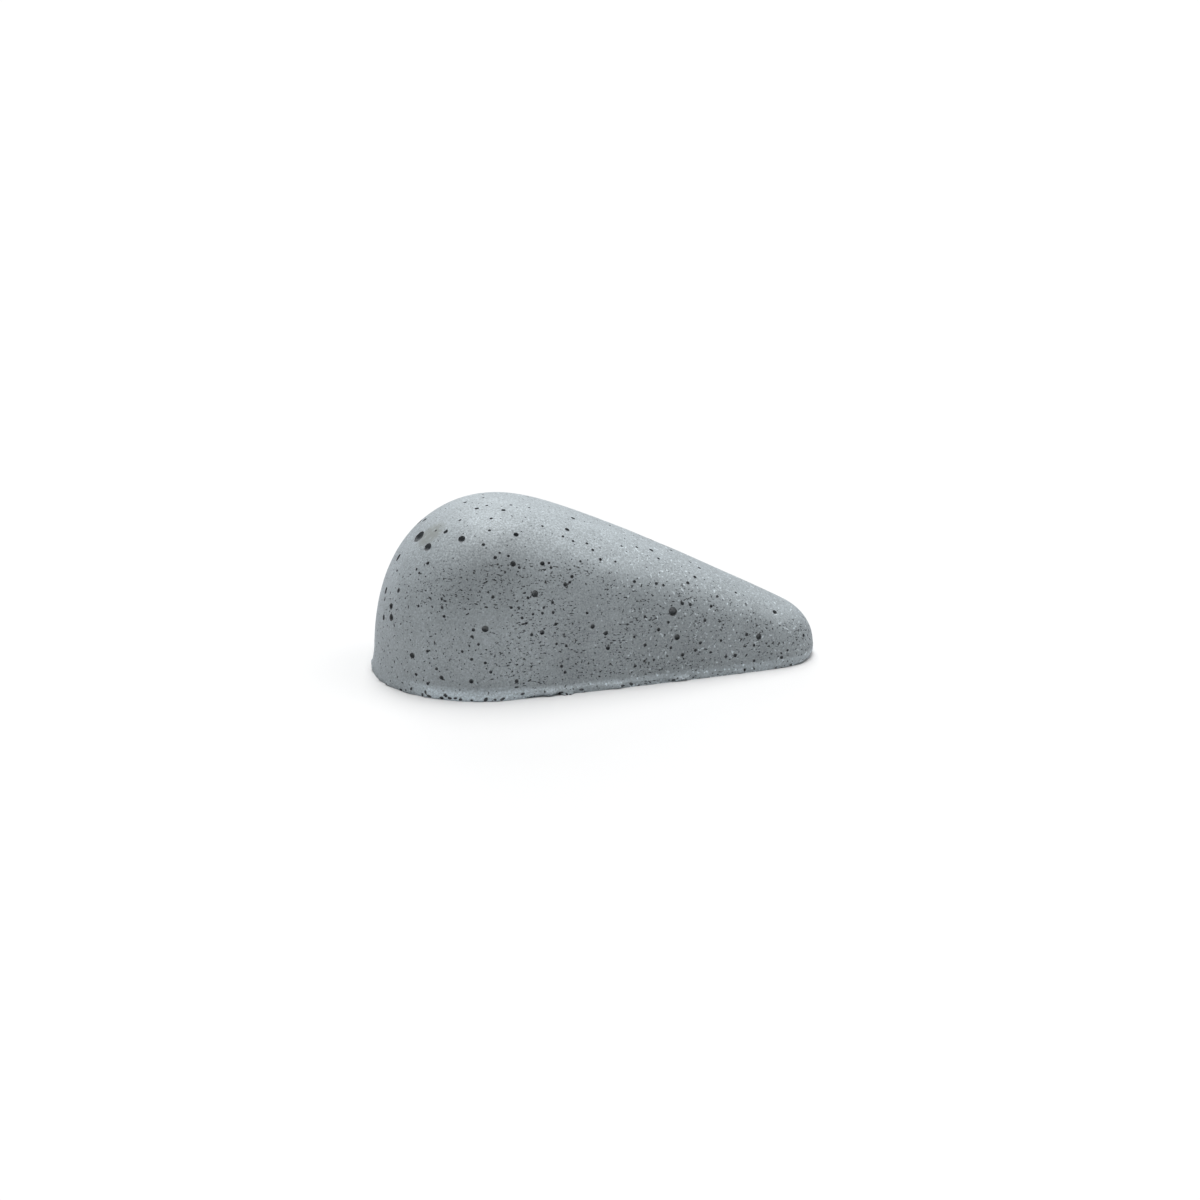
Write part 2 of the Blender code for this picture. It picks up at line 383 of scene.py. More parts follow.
    def outline(self, columns: int) -> tuple[np.ndarray, np.ndarray]:
        """Walks once round the outline, from the tip.

        Args:
            columns: How many even steps the walk has.

        Returns:
            The points passed and their outward directions, the first one twice.
        """
        share = np.linspace(0, 1, columns + 1)
        tip_arc = self.side_angle * self.tip_radius
        side = (self.tip_centre - self.wide_centre) * math.sin(self.side_angle)
        wide_arc = (math.pi - self.side_angle) * self.wide_radius
        gone = np.minimum(share, 1 - share) * 2 * (tip_arc + side + wide_arc)
        angle = np.where(
            gone < tip_arc + side,
            np.minimum(gone / self.tip_radius, self.side_angle),
            self.side_angle + (gone - tip_arc - side) / self.wide_radius,
        )
        on_side = np.clip((gone - tip_arc) / side, 0, 1)
        centre = self.tip_centre + (self.wide_centre - self.tip_centre) * on_side
        radius = self.tip_radius + (self.wide_radius - self.tip_radius) * on_side
        hand = np.where(share > 0.5, -1.0, 1.0)
        outward = np.stack([np.cos(angle), hand * np.sin(angle)], axis=-1)
        radius = radius + self.bulge(self.side_bulge, on_side)
        points = outward * radius[:, None]
        points[:, 0] += centre
        return points, outward

    def lip_width(self, x: np.ndarray) -> np.ndarray:
        """How far the lip stands out at x."""
        return np.interp(x, *zip(*self.lip_widths))

    def lip_height(self, x: np.ndarray) -> np.ndarray:
        """How tall the lip is at x, as a share of its profile."""
        return np.interp(x, *zip(*self.lip_heights))

    def tuck(self, x: np.ndarray, level: np.ndarray) -> np.ndarray:
        """How far the foot is rounded under at x, at a height."""
        share = np.interp(x, self.tuck_from, (0.0, 1.0))
        return self.tip_tuck * share * (1 - np.clip(level / self.tuck_height, 0, 1)) ** 2

    def ledge_share(self, x: np.ndarray) -> np.ndarray:
        """How much of a ledge the lip is at x, from 0 for a plain flare to 1."""
        return np.interp(x, self.flare_ends, (0.0, 1.0))


class Nub(NamedTuple):
    """A bump of flash on the foot of the lip, or a chip in it where its reach is negative."""

    along: float  # metres along the length, on the -Y side
    half: float  # half its length
    reach: float
    tall: float  # height at which it has died away
    plateau: float = 1.6  # the higher, the more of its length has the full reach
    cap: float = 1.4  # the higher, the more of its height has the full reach

    def at(self, points: np.ndarray, level: np.ndarray) -> np.ndarray:
        """Finds its reach beside points of the outline.

        Args:
            points: The points in plan.
            level: Their heights.

        Returns:
            How far it stands out at each.
        """
        across = np.abs(points[:, 0] - self.along) / self.half
        lengthwise = np.clip(self.plateau - self.plateau * across**4, 0, 1)
        upright = np.clip(self.cap - self.cap * level / self.tall, 0, 1)
        return np.where(points[:, 1] < 0, lengthwise * upright * self.reach, 0)


@dataclass
class Blank:
    """The stone before any bubble is cut: a flat grid wrapped round its form."""

    form: StoneForm
    columns: int = 320
    skin_rows: int = 44
    face_rows: int = 20
    climb_steps: int = 500
    climb_ease: int = 4  # the higher, the closer the steps are at the foot
    nubs: tuple[Nub, ...] = (
        Nub(-0.0158, 0.0046, -0.0007, 0.0011),
        Nub(-0.0141, 0.0010, 0.0007, 0.0022),
        Nub(-0.0098, 0.0013, 0.0007, 0.0009),
    )

    @staticmethod
    def along(climbs: np.ndarray, runs: np.ndarray, distances: np.ndarray) -> np.ndarray:
        """Finds the point of each climb at its own distance along it.

        Args:
            climbs: Points up each column, (columns, steps, 3).
            runs: The distance gone at each of them, (columns, steps).
            distances: One distance for each column.

        Returns:
            One point for each column.
        """
        found = [
            [np.interp(distance, run, climb[:, axis]) for axis in range(3)]
            for climb, run, distance in zip(climbs, runs, distances)
        ]
        return np.array(found)

    def rings(self) -> list[np.ndarray]:
        """Lays out the rings of points, from the middle of the flat face up to the ridge.

        Returns:
            The points of each ring, (columns + 1, 3).
        """
        edge, outward = self.form.outline(self.columns)
        spine = np.zeros_like(edge)
        spine[:, 0] = np.clip(edge[:, 0], self.form.apex, self.form.tip_centre)
        steps = np.linspace(0, 1, self.climb_steps) ** self.climb_ease
        plan = edge[:, None] + (spine - edge)[:, None] * steps[None, :, None]
        heights = self.form.skin_height(plan[..., 0], plan[..., 1])
        climbs = np.concatenate([plan, heights[..., None]], axis=-1)
        lengths = np.linalg.norm(np.diff(climbs, axis=1), axis=-1)
        runs = np.pad(np.cumsum(lengths, axis=1), ((0, 0), (1, 0)))

        width = self.form.lip_width(edge[:, 0])
        height = self.form.lip_height(edge[:, 0])
        ledge = self.form.ledge_share(edge[:, 0])
        rows: list[np.ndarray] = []
        for profile_level, as_ledge, as_flare in self.form.lip_profile:
            level = profile_level * (1 + (height - 1) * ledge)
            begin = np.array([np.interp(at, *column) for at, *column in zip(level, heights, runs)])
            ring = self.along(climbs, runs, begin)
            reach = width * (as_flare + (as_ledge - as_flare) * ledge)
            reach = np.maximum(reach + sum(nub.at(edge, level) for nub in self.nubs), 0)
            reach -= self.form.tuck(edge[:, 0], level)
            ring[:, :2] += outward * reach[:, None]
            ring[:, 2] = level
            rows.append(ring)
        for row in range(1, self.skin_rows + 1):
            rows.append(self.along(climbs, runs, begin + (runs[:, -1] - begin) * row / self.skin_rows))
        foot = rows[0]
        middle = np.pad(spine, ((0, 0), (0, 1)))
        face = [middle + (foot - middle) * row / self.face_rows for row in range(self.face_rows)]
        return face + rows

    def build(self) -> bpy.types.Object:
        """Wraps the grid and welds its seam and its two spines.

        Returns:
            The blank, linked to the scene.
        """
        rows = self.rings()
        bm = bmesh.new()
        bmesh.ops.create_grid(bm, x_segments=self.columns, y_segments=len(rows) - 1, size=0.5)
        for vertex in bm.verts:
            column = round((vertex.co.x + 0.5) * self.columns)
            row = round((vertex.co.y + 0.5) * (len(rows) - 1))
            vertex.co = rows[row][column]
        bmesh.ops.remove_doubles(bm, verts=bm.verts, dist=WELD)
        bmesh.ops.recalc_face_normals(bm, faces=bm.faces)
        mesh = bpy.data.meshes.new("pumice_blank")
        bm.to_mesh(mesh)
        bm.free()
        blank = bpy.data.objects.new("pumice_foot_stone", mesh)
        bpy.context.scene.collection.objects.link(blank)
        return blank


# ---------------------------------------------------------------------------------------------
# Shaping with Geometry Nodes
# ---------------------------------------------------------------------------------------------


@dataclass
class Shaping(Graph):
    """A Geometry Nodes tree with named inputs, which is run once on a piece."""

    inlets: bpy.types.Node = field(init=False)
    outlets: bpy.types.Node = field(init=False)

    @classmethod
    def named(cls, name: str) -> Shaping:
        """Starts a tree.

        Args:
            name: The tree's name.

        Returns:
            A tree with a geometry input and output.
        """
        tree = bpy.data.node_groups.new(name, "GeometryNodeTree")
        shaping = cls(tree)
        shaping.inlets = tree.nodes.new("NodeGroupInput")
        shaping.outlets = tree.nodes.new("NodeGroupOutput")
        tree.interface.new_socket("Geometry", in_out="INPUT", socket_type="NodeSocketGeometry")
        tree.interface.new_socket("Geometry", in_out="OUTPUT", socket_type="NodeSocketGeometry")
        return shaping

    def size(self, name: str, kind: str = "NodeSocketFloat") -> bpy.types.NodeSocket:
        """Adds a named input.

        Args:
            name: What it sets.
            kind: Its socket type.

        Returns:
            The socket that brings the value into the tree.
        """
        self.tree.interface.new_socket(name, in_out="INPUT", socket_type=kind)
        return self.inlets.outputs[name]

    @property
    def stone(self) -> bpy.types.NodeSocket:
        """The geometry that comes in."""
        return self.inlets.outputs["Geometry"]

    def chance(self, most: Feed, seed: Feed) -> bpy.types.NodeSocket:
        """Draws a number from 0 to a most, for each point or instance."""
        feeds = {"Min_001": 0.0, "Max_001": most, "Seed": seed}
        return self.outlet(self.add("FunctionNodeRandomValue", feeds, data_type="FLOAT"))

    def finish(self, geometry: bpy.types.NodeSocket, coats: Sequence[tuple[Any, Feed]] = ()) -> None:
        """Ends the tree in Realize Instances and Set Material.

        Args:
            geometry: The result.
            coats: Each material and the faces that take it.
        """
        geometry = self.add("GeometryNodeRealizeInstances", {"Geometry": geometry}).outputs[0]
        for material, faces in coats:
            feeds = {"Geometry": geometry, "Selection": faces, "Material": material}
            geometry = self.add("GeometryNodeSetMaterial", feeds).outputs[0]
        self.tree.links.new(geometry, self.outlets.inputs[0])

    def run(self, piece: bpy.types.Object, values: dict[str, Any]) -> None:
        """Shapes a piece, and leaves it a plain mesh with no modifier.

        Args:
            piece: The piece.
            values: A value for each named input.
        """
        modifier = piece.modifiers.new(self.tree.name, "NODES")
        modifier.node_group = self.tree
        for item in self.tree.interface.items_tree:
            if item.in_out == "INPUT" and item.name in values:
                modifier[item.identifier] = values[item.name]
        bpy.context.view_layer.update()
        graph = bpy.context.evaluated_depsgraph_get()
        shaped = bpy.data.meshes.new_from_object(piece.evaluated_get(graph))
        piece.modifiers.remove(modifier)
        piece.data = shaped


@dataclass(frozen=True)
class Relief:
    """How the skin swells, how the lip crumbles and how rough the flat face is."""

    swell: float = 0.00010
    swell_pitch: float = 0.012
    crumb: float = 0.0007
    crumb_pitch: float = 0.0030
    grit: float = 0.00045
    grit_pitch: float = 0.0014
    hollow: float = 0.00016
    hollow_pitch: float = 0.006
    lip_top: float = 0.0016
    lip_core: float = 0.5  # how much of the lip's height crumbles in full
    face_edge: float = 0.0001  # height at which the flat face has ended

    def shaping(self) -> Shaping:
        """Builds the tree that moves the skin.

        Returns:
            The tree, with a height and a pitch for each of its four kinds of relief.
        """
        tree = Shaping.named("skin_relief")
        place = tree.add("GeometryNodeInputPosition").outputs[0]
        normal = tree.add("GeometryNodeInputNormal").outputs[0]
        height = tree.split(place)["Z"]
        on_lip = tree.fading(height, self.lip_core * self.lip_top, self.lip_top)
        off_face = tree.between(height, 0.0, self.face_edge)

        push = self.waves(tree, place, "Swell")
        ragged = tree.maths("ADD", self.waves(tree, place, "Crumb"), self.waves(tree, place, "Grit"))
        push = tree.maths("ADD", push, tree.maths("MULTIPLY", on_lip, ragged))
        push = tree.maths("MULTIPLY", push, off_face)
        sideways = tree.vector("MULTIPLY", a=normal, b=(1.0, 1.0, 0.0))
        lift = tree.maths("SUBTRACT", 1.0, on_lip)
        upright = tree.vector("MULTIPLY", a=normal, b=(0.0, 0.0, 1.0))
        lean = tree.vector("ADD", a=sideways, b=tree.vector("SCALE", a=upright, scale=lift))
        offset = tree.vector("SCALE", a=lean, scale=push)

        hollow = tree.maths("MAXIMUM", self.waves(tree, place, "Hollow"), 0.0)
        hollow = tree.maths("MULTIPLY", hollow, tree.maths("SUBTRACT", 1.0, off_face))
        dent = tree.add("ShaderNodeCombineXYZ", {"Z": hollow}).outputs[0]
        moved = {"Geometry": tree.stone, "Offset": tree.vector("ADD", a=offset, b=dent)}
        tree.finish(tree.add("GeometryNodeSetPosition", moved).outputs[0])
        return tree

    @staticmethod
    def waves(tree: Shaping, place: Feed, name: str) -> bpy.types.NodeSocket:
        """Adds noise that runs from minus to plus a named height.

        Args:
            tree: The tree.
            place: Where the noise is read.
            name: The name of the height, and of its pitch.

        Returns:
            The height at each point.
        """
        height = tree.size(name)
        pitch = tree.size(f"{name} pitch")
        feeds = {"Vector": place, "Scale": tree.maths("DIVIDE", 1.0, pitch), "Detail": 1.0}
        noise = tree.add("ShaderNodeTexNoise", feeds).outputs[0]
        centred = tree.maths("MULTIPLY", tree.maths("SUBTRACT", noise, 0.5), 2.0)
        return tree.maths("MULTIPLY", centred, height)

    def apply(self, piece: bpy.types.Object) -> None:
        """Moves the skin of a piece.

        Args:
            piece: The blank stone.
        """
        values = {
            "Swell": self.swell,
            "Swell pitch": self.swell_pitch,
            "Crumb": self.crumb,
            "Crumb pitch": self.crumb_pitch,
            "Grit": self.grit,
            "Grit pitch": self.grit_pitch,
            "Hollow": self.hollow,
            "Hollow pitch": self.hollow_pitch,
        }
        self.shaping().run(piece, values)


class Pit(NamedTuple):
    """A bubble that broke at the skin."""

    along: float  # metres along the length
    around: float  # degrees round the section: 0 at the -Y edge, 90 on the ridge, 180 at the +Y edge
    mouth: float  # radius of the opening, in metres
    stretch: float = 1.0  # how much longer it is along the stone
    spread: float = 1.0  # how much wider it is across the stone


# The pits that mark the -Y side, from the wide end to the tip
NEAR_PITS = (
    Pit(-0.0526, 63.5, 0.0006),
    Pit(-0.0521, 74.0, 0.0004),
    Pit(-0.0517, 79.0, 0.0008),
    Pit(-0.0510, 55.0, 0.0008),
    Pit(-0.0509, 61.0, 0.0007),
    Pit(-0.0491, 63.5, 0.0005),
    Pit(-0.0490, 77.0, 0.00026),
    Pit(-0.0483, 88.5, 0.0009),
    Pit(-0.0466, 26.5, 0.00065),
    Pit(-0.0458, 14.0, 0.00033),
    Pit(-0.0449, 49.0, 0.00028),
    Pit(-0.0448, 64.5, 0.0003),
    Pit(-0.0443, 62.0, 0.00024),
    Pit(-0.0433, 84.5, 0.0015, 1.0, 1.35),
    Pit(-0.0432, 8.5, 0.0003),
    Pit(-0.0431, 27.5, 0.00032),
    Pit(-0.0422, 63.5, 0.0004),
    Pit(-0.0418, 71.5, 0.0009, 1.1, 1.3),
    Pit(-0.0413, 99.0, 0.0006),
    Pit(-0.0411, 17.5, 0.00031),
    Pit(-0.0400, 12.5, 0.00045),
    Pit(-0.0395, 78.5, 0.00026),
    Pit(-0.0395, 47.5, 0.00027),
    Pit(-0.0395, 44.5, 0.00028),
    Pit(-0.0391, 41.0, 0.00031),
    Pit(-0.0374, 74.0, 0.00055),
    Pit(-0.0351, 25.5, 0.0003),
    Pit(-0.0340, 67.0, 0.0008, 1.0, 1.15),
    Pit(-0.0337, 77.5, 0.00027),
    Pit(-0.0331, 10.5, 0.00045),
    Pit(-0.0329, 21.5, 0.00031),
    Pit(-0.0328, 31.5, 0.0003),
    Pit(-0.0324, 34.0, 0.00035),
    Pit(-0.0315, 93.0, 0.0004),
    Pit(-0.0313, 28.0, 0.00027),
    Pit(-0.0297, 19.5, 0.0003),
    Pit(-0.0296, 34.0, 0.0007),
    Pit(-0.0293, 83.0, 0.00047),
    Pit(-0.0291, 62.5, 0.00033),
    Pit(-0.0284, 15.0, 0.00031),
    Pit(-0.0276, 45.0, 0.00033),
    Pit(-0.0273, 68.0, 0.00027),
    Pit(-0.0270, 93.5, 0.00025),
    Pit(-0.0268, 84.0, 0.0003),
    Pit(-0.0265, 74.0, 0.00033),
    Pit(-0.0265, 57.5, 0.00036),
    Pit(-0.0254, 59.0, 0.00023),
    Pit(-0.0234, 58.0, 0.00028),
    Pit(-0.0232, 41.5, 0.00027),
    Pit(-0.0231, 79.0, 0.00045),
    Pit(-0.0224, 55.5, 0.0006),
    Pit(-0.0222, 9.5, 0.0004),
    Pit(-0.0210, 66.0, 0.00057),
    Pit(-0.0209, 83.5, 0.00028),
    Pit(-0.0209, 54.5, 0.00028),
    Pit(-0.0207, 38.0, 0.00029),
    Pit(-0.0197, 36.0, 0.00026),
    Pit(-0.0191, 45.0, 0.00032),
    Pit(-0.0184, 31.5, 0.00036),
    Pit(-0.0180, 39.5, 0.00027),
    Pit(-0.0174, 46.5, 0.00075),
    Pit(-0.0165, 83.0, 0.00025),
    Pit(-0.0158, 32.5, 0.0005),
    Pit(-0.0156, 40.0, 0.00027),
    Pit(-0.0153, 42.0, 0.00028),
    Pit(-0.0152, 56.5, 0.0005),
    Pit(-0.0142, 71.5, 0.00025),
    Pit(-0.0136, 57.0, 0.00027),
    Pit(-0.0131, 55.5, 0.00027),
    Pit(-0.0131, 44.0, 0.0003),
    Pit(-0.0130, 40.5, 0.00031),
    Pit(-0.0124, 36.0, 0.00033),
    Pit(-0.0123, 27.5, 0.00027),
    Pit(-0.0111, 16.0, 0.00033),
    Pit(-0.0102, 12.5, 0.00033),
    Pit(-0.0099, 26.5, 0.00028),
    Pit(-0.0098, 50.5, 0.00045),
    Pit(-0.0094, 68.5, 0.00027),
    Pit(-0.0087, 51.5, 0.0003),
    Pit(-0.0081, 53.5, 0.00036),
    Pit(-0.0080, 73.0, 0.0005),
    Pit(-0.0070, 67.5, 0.00028),
    Pit(-0.0057, 59.5, 0.00025),
    Pit(-0.0056, 84.0, 0.0005),
    Pit(-0.0046, 41.0, 0.00029),
    Pit(-0.0035, 68.0, 0.0003),
    Pit(-0.0033, 35.5, 0.0005),
    Pit(-0.0022, 65.5, 0.00031),
    Pit(-0.0006, 62.0, 0.00034),
    Pit(0.0000, 32.5, 0.00046),
    Pit(0.0005, 25.0, 0.00045),
    Pit(0.0032, 62.5, 0.00024),
    Pit(0.0043, 93.0, 0.00027),
    Pit(0.0055, 72.5, 0.00024),
    Pit(0.0071, 31.0, 0.00027),
    Pit(0.0074, 13.5, 0.0003),
    Pit(0.0076, 55.5, 0.00035),
    Pit(0.0096, 76.0, 0.0003),
    Pit(0.0099, 41.0, 0.00028),
    Pit(0.0099, 26.5, 0.00035),
    Pit(0.0121, 17.0, 0.00028),
    Pit(0.0132, 56.5, 0.00032),
    Pit(0.0133, 35.0, 0.00038),
    Pit(0.0135, 78.5, 0.0005),
    Pit(0.0148, 72.5, 0.0003),
    Pit(0.0150, 56.5, 0.0003),
    Pit(0.0158, 39.0, 0.00029),
    Pit(0.0164, 24.5, 0.0003),
    Pit(0.0170, 44.5, 0.001),
    Pit(0.0180, 31.0, 0.00066),
    Pit(0.0194, 19.5, 0.0004),
    Pit(0.0195, 49.0, 0.0004),
    Pit(0.0196, 93.0, 0.0004),
    Pit(0.0215, 61.0, 0.0004),
    Pit(0.0216, 49.0, 0.00035),
    Pit(0.0227, 22.5, 0.00036),
    Pit(0.0237, 67.0, 0.0004),
    Pit(0.0238, 84.0, 0.0003),
    Pit(0.0240, 27.5, 0.00033),
    Pit(0.0252, 41.5, 0.00034),
    Pit(0.0258, 80.0, 0.00036),
    Pit(0.0266, 20.5, 0.00028),
    Pit(0.0270, 50.0, 0.00034),
    Pit(0.0289, 57.0, 0.00027),
    Pit(0.0293, 29.0, 0.0003),
    Pit(0.0306, 16.5, 0.00032),
    Pit(0.0330, 17.0, 0.00038),
    Pit(0.0342, 65.0, 0.00028),
    Pit(0.0360, 34.0, 0.00034),
    Pit(0.0379, 25.5, 0.00029),
    Pit(0.0380, 11.0, 0.00028),
    Pit(0.0392, 32.5, 0.00065),
    Pit(0.0440, 56.0, 0.0005),
    Pit(0.0452, 12.5, 0.00035),
    Pit(0.0468, 20.0, 0.00025),
    Pit(0.0515, 38.5, 0.00035),
)


# The drawn-out holes in the edge of the lip on the -Y side
LIP_HOLES = (
    Pit(-0.0494, 1.2, 0.00030, 1.6),
    Pit(-0.0445, 1.4, 0.00030, 1.4),
    Pit(-0.0429, 1.0, 0.00028, 2.2),
    Pit(-0.0401, 1.1, 0.00034, 1.3),
    Pit(-0.0390, 2.2, 0.00034, 1.2),
    Pit(-0.0381, 1.3, 0.00030, 1.6),
    Pit(-0.0369, 1.6, 0.00026, 1.6),
    Pit(-0.0358, 1.1, 0.00024, 1.8),
    Pit(-0.0331, 0.9, 0.00022, 1.6),
    Pit(-0.0298, 1.3, 0.00040, 1.1),
    Pit(-0.0276, 1.2, 0.00022, 1.4),
    Pit(-0.0258, 1.2, 0.00026, 2.4),
    Pit(-0.0222, 1.0, 0.00022, 1.4),
    Pit(-0.0141, 0.8, 0.00032, 1.8),
    Pit(-0.0114, 1.6, 0.00026, 2.0),
    Pit(-0.0062, 1.9, 0.00026, 2.2),
    Pit(0.0041, 1.6, 0.00026, 2.2),
    Pit(0.0062, 2.0, 0.00030, 1.4),
    Pit(0.0170, 1.7, 0.00024, 1.8),
    Pit(0.0187, 1.4, 0.00020, 1.4),
)


RIDGE_REACH = 0.0045  # how far past the middle the near pits go
FLANK_FACING = 0.5  # the flank faces up less than this,
FACE_FACING = -0.9  # and the flat face less than this
RIM_BEND = 0.2  # radians between the faces at a rim


class Zone(Enum):
    """A part of the stone that bubbles are scattered over."""

    FAR = "the skin past the ridge, on the +Y side"
    SKIN = "all of the skin above the lip"
    FLANK = "the steep part of the skin"
    LIP = "the lip"
    FACE = "the flat face, off its rim and off other bubbles"

    def where(self, tree: Shaping, lip_top: float, skin: bpy.types.Material) -> bpy.types.NodeSocket:
        """Picks the faces of this zone that no bubble has cut.

        Args:
            tree: The tree that scatters the bubbles.
            lip_top: Height of the top of the lip.
            skin: Material of the uncut faces.

        Returns:
            1 on those faces and 0 on the others.
        """
        place = tree.add("GeometryNodeInputPosition").outputs[0]
        normal = tree.add("GeometryNodeInputNormal").outputs[0]
        spot = tree.split(place)
        upward = tree.split(normal)["Z"]
        uncut = tree.add("GeometryNodeMaterialSelection", {"Material": skin}).outputs[0]
        above = tree.maths("GREATER_THAN", spot["Z"], lip_top)
        downward = tree.maths("LESS_THAN", upward, FACE_FACING)
        if self is Zone.FAR:
            inside = tree.maths("MULTIPLY", above, tree.maths("GREATER_THAN", spot["Y"], RIDGE_REACH))
        elif self is Zone.FLANK:
            inside = tree.maths("MULTIPLY", above, tree.maths("LESS_THAN", upward, FLANK_FACING))
        elif self is Zone.LIP:
            inside = tree.maths("LESS_THAN", tree.maths("MAXIMUM", above, downward), 0.5)
        elif self is Zone.FACE:
            bend = tree.add("GeometryNodeInputMeshEdgeAngle").outputs["Unsigned Angle"]
            inside = tree.maths("MULTIPLY", downward, tree.maths("LESS_THAN", bend, RIM_BEND))
        else:
            inside = above
        return tree.maths("MULTIPLY", inside, uncut)


STRETCH_SEED = 7  # the seed of the most that each bubble may be stretched,
EASE_SEED = 8  # of how much of that it is,
SPIN_SEED = 11  # and of how it is turned
WALL_WAVES = 0.9  # how many waves a bubble's wall has to its radius


@dataclass(frozen=True)
class BubbleRun:
    """Bubbles of one kind, scattered over a zone and cut from the stone in one go."""

    name: str
    zone: Zone
    apart: float  # least distance between two
    density: float  # at most this many to a square metre
    mouths: tuple[float, float]  # radii of the smallest and the largest opening
    favour_small: float = 2.5  # the higher, the fewer large ones
    stretch: float = 0.0  # how much longer than wide the longest are
    sunk: float = 0.45  # how far the middle lies below the skin, as a share of the radius
    facets: int = 2
    ragged: float = 0.25
    seed: int = 1
    room: float = 0.47  # the longest half length, as a share of the least distance

    @property
    def sizes(self) -> dict[str, float]:
        """The value of each of the tree's named sizes."""
        return {
            "Apart": self.apart,
            "Density": self.density,
            "Smallest mouth": self.mouths[0],
            "Largest mouth": self.mouths[1],
            "Stretch": self.stretch,
            "Sunk": self.sunk,
            "Ragged": self.ragged,
        }

    def shaping(self, lip_top: float, skin: bpy.types.Material, pore: bpy.types.Material) -> Shaping:
        """Builds the tree that scatters and cuts these bubbles.

        Args:
            lip_top: Height of the top of the lip.
            skin: Material of the uncut faces.
            pore: Material of the cut ones.

        Returns:
            The tree, with these sizes and a seed for its inputs.
        """
        tree = Shaping.named(self.name)
        size = {name: tree.size(name) for name in self.sizes}
        seed = tree.size("Seed", "NodeSocketInt")
        smallest, largest = size["Smallest mouth"], size["Largest mouth"]

        feeds = {
            "Mesh": tree.stone,
            "Selection": self.zone.where(tree, lip_top, skin),
            "Distance Min": size["Apart"],
            "Density Max": size["Density"],
            "Seed": seed,
        }
        spots = tree.add("GeometryNodeDistributePointsOnFaces", feeds, distribute_method="POISSON")
        share = tree.maths("POWER", tree.chance(1.0, seed), self.favour_small)
        spread = tree.maths("SUBTRACT", largest, smallest)
        radius = tree.maths("MULTIPLY_ADD", share, spread, smallest)
        most = tree.chance(size["Stretch"], STRETCH_SEED)
        longer = tree.maths("MULTIPLY", most, tree.chance(1.0, EASE_SEED))
        length = tree.maths("MULTIPLY", radius, tree.maths("ADD", longer, 1.0))
        length = tree.maths("MINIMUM", length, tree.maths("MULTIPLY", size["Apart"], self.room))

        sink = tree.chain("MULTIPLY", radius, size["Sunk"], -1.0)
        # The normal is each point's own, kept from before it moves
        down = tree.vector("SCALE", a=spots.outputs["Normal"], scale=sink)
        points = tree.add("GeometryNodeSetPosition", {"Geometry": spots.outputs["Points"], "Offset": down})
        spin = tree.add("ShaderNodeCombineXYZ", {"Z": tree.chance(math.tau, SPIN_SEED)}).outputs[0]
        feeds = {"Rotation": spots.outputs["Rotation"], "Rotate By": spin}
        turned = tree.add("FunctionNodeRotateRotation", feeds, rotation_space="LOCAL")
        radii = tree.add("ShaderNodeCombineXYZ", {"X": length, "Y": radius, "Z": radius})
        ball = tree.add("GeometryNodeMeshIcoSphere", {"Radius": 1.0, "Subdivisions": self.facets})
        feeds = {
            "Points": points.outputs[0],
            "Instance": ball.outputs[0],
            "Rotation": turned.outputs[0],
            "Scale": radii.outputs[0],
        }
        balls = tree.add("GeometryNodeInstanceOnPoints", feeds)
        cut(tree, balls.outputs[0], size["Ragged"], largest, skin, pore)
        return tree

    def apply(
        self,
        piece: bpy.types.Object,
        lip_top: float,
        skin: bpy.types.Material,
        pore: bpy.types.Material,
    ) -> None:
        """Cuts these bubbles from a piece.

        Args:
            piece: The stone.
            lip_top: Height of the top of the lip.
            skin: Material of the uncut faces.
            pore: Material of the cut ones.
        """
        self.shaping(lip_top, skin, pore).run(piece, {**self.sizes, "Seed": self.seed})


def cut(
    tree: Shaping,
    balls: bpy.types.NodeSocket,
    ragged: Feed,
    scale: Feed,
    skin: bpy.types.Material,
    pore: bpy.types.Material,
) -> None:
    """Ends a tree by cutting bubbles from its stone.

    Args:
        tree: The tree.
        balls: The bubbles, as instances.
        ragged: How uneven their walls are, as a share of the largest radius.
        scale: The largest radius.
        skin: Material of the uncut faces.
        pore: Material of the cut ones.
    """
    solid = tree.add("GeometryNodeRealizeInstances", {"Geometry": balls}).outputs[0]
    place = tree.add("GeometryNodeInputPosition").outputs[0]
    feeds = {"Vector": place, "Scale": tree.maths("DIVIDE", WALL_WAVES, scale), "Detail": 0.0}
    wander = tree.add("ShaderNodeTexNoise", feeds).outputs["Color"]
    wander = tree.vector("SUBTRACT", a=wander, b=(0.5, 0.5, 0.5))
    offset = tree.vector("SCALE", a=wander, scale=tree.maths("MULTIPLY", ragged, scale))
    uneven = tree.add("GeometryNodeSetPosition", {"Geometry": solid, "Offset": offset}).outputs[0]
    coated = tree.add("GeometryNodeSetMaterial", {"Geometry": uneven, "Material": pore}).outputs[0]
    feeds = {"Mesh 1": tree.stone, "Mesh 2": coated}
    carved = tree.add("GeometryNodeMeshBoolean", feeds, operation="DIFFERENCE", solver="MANIFOLD")
    faces = [
        (kind, tree.add("GeometryNodeMaterialSelection", {"Material": kind}).outputs[0])
        for kind in (skin, pore)
    ]
    tree.finish(carved.outputs[0], faces)


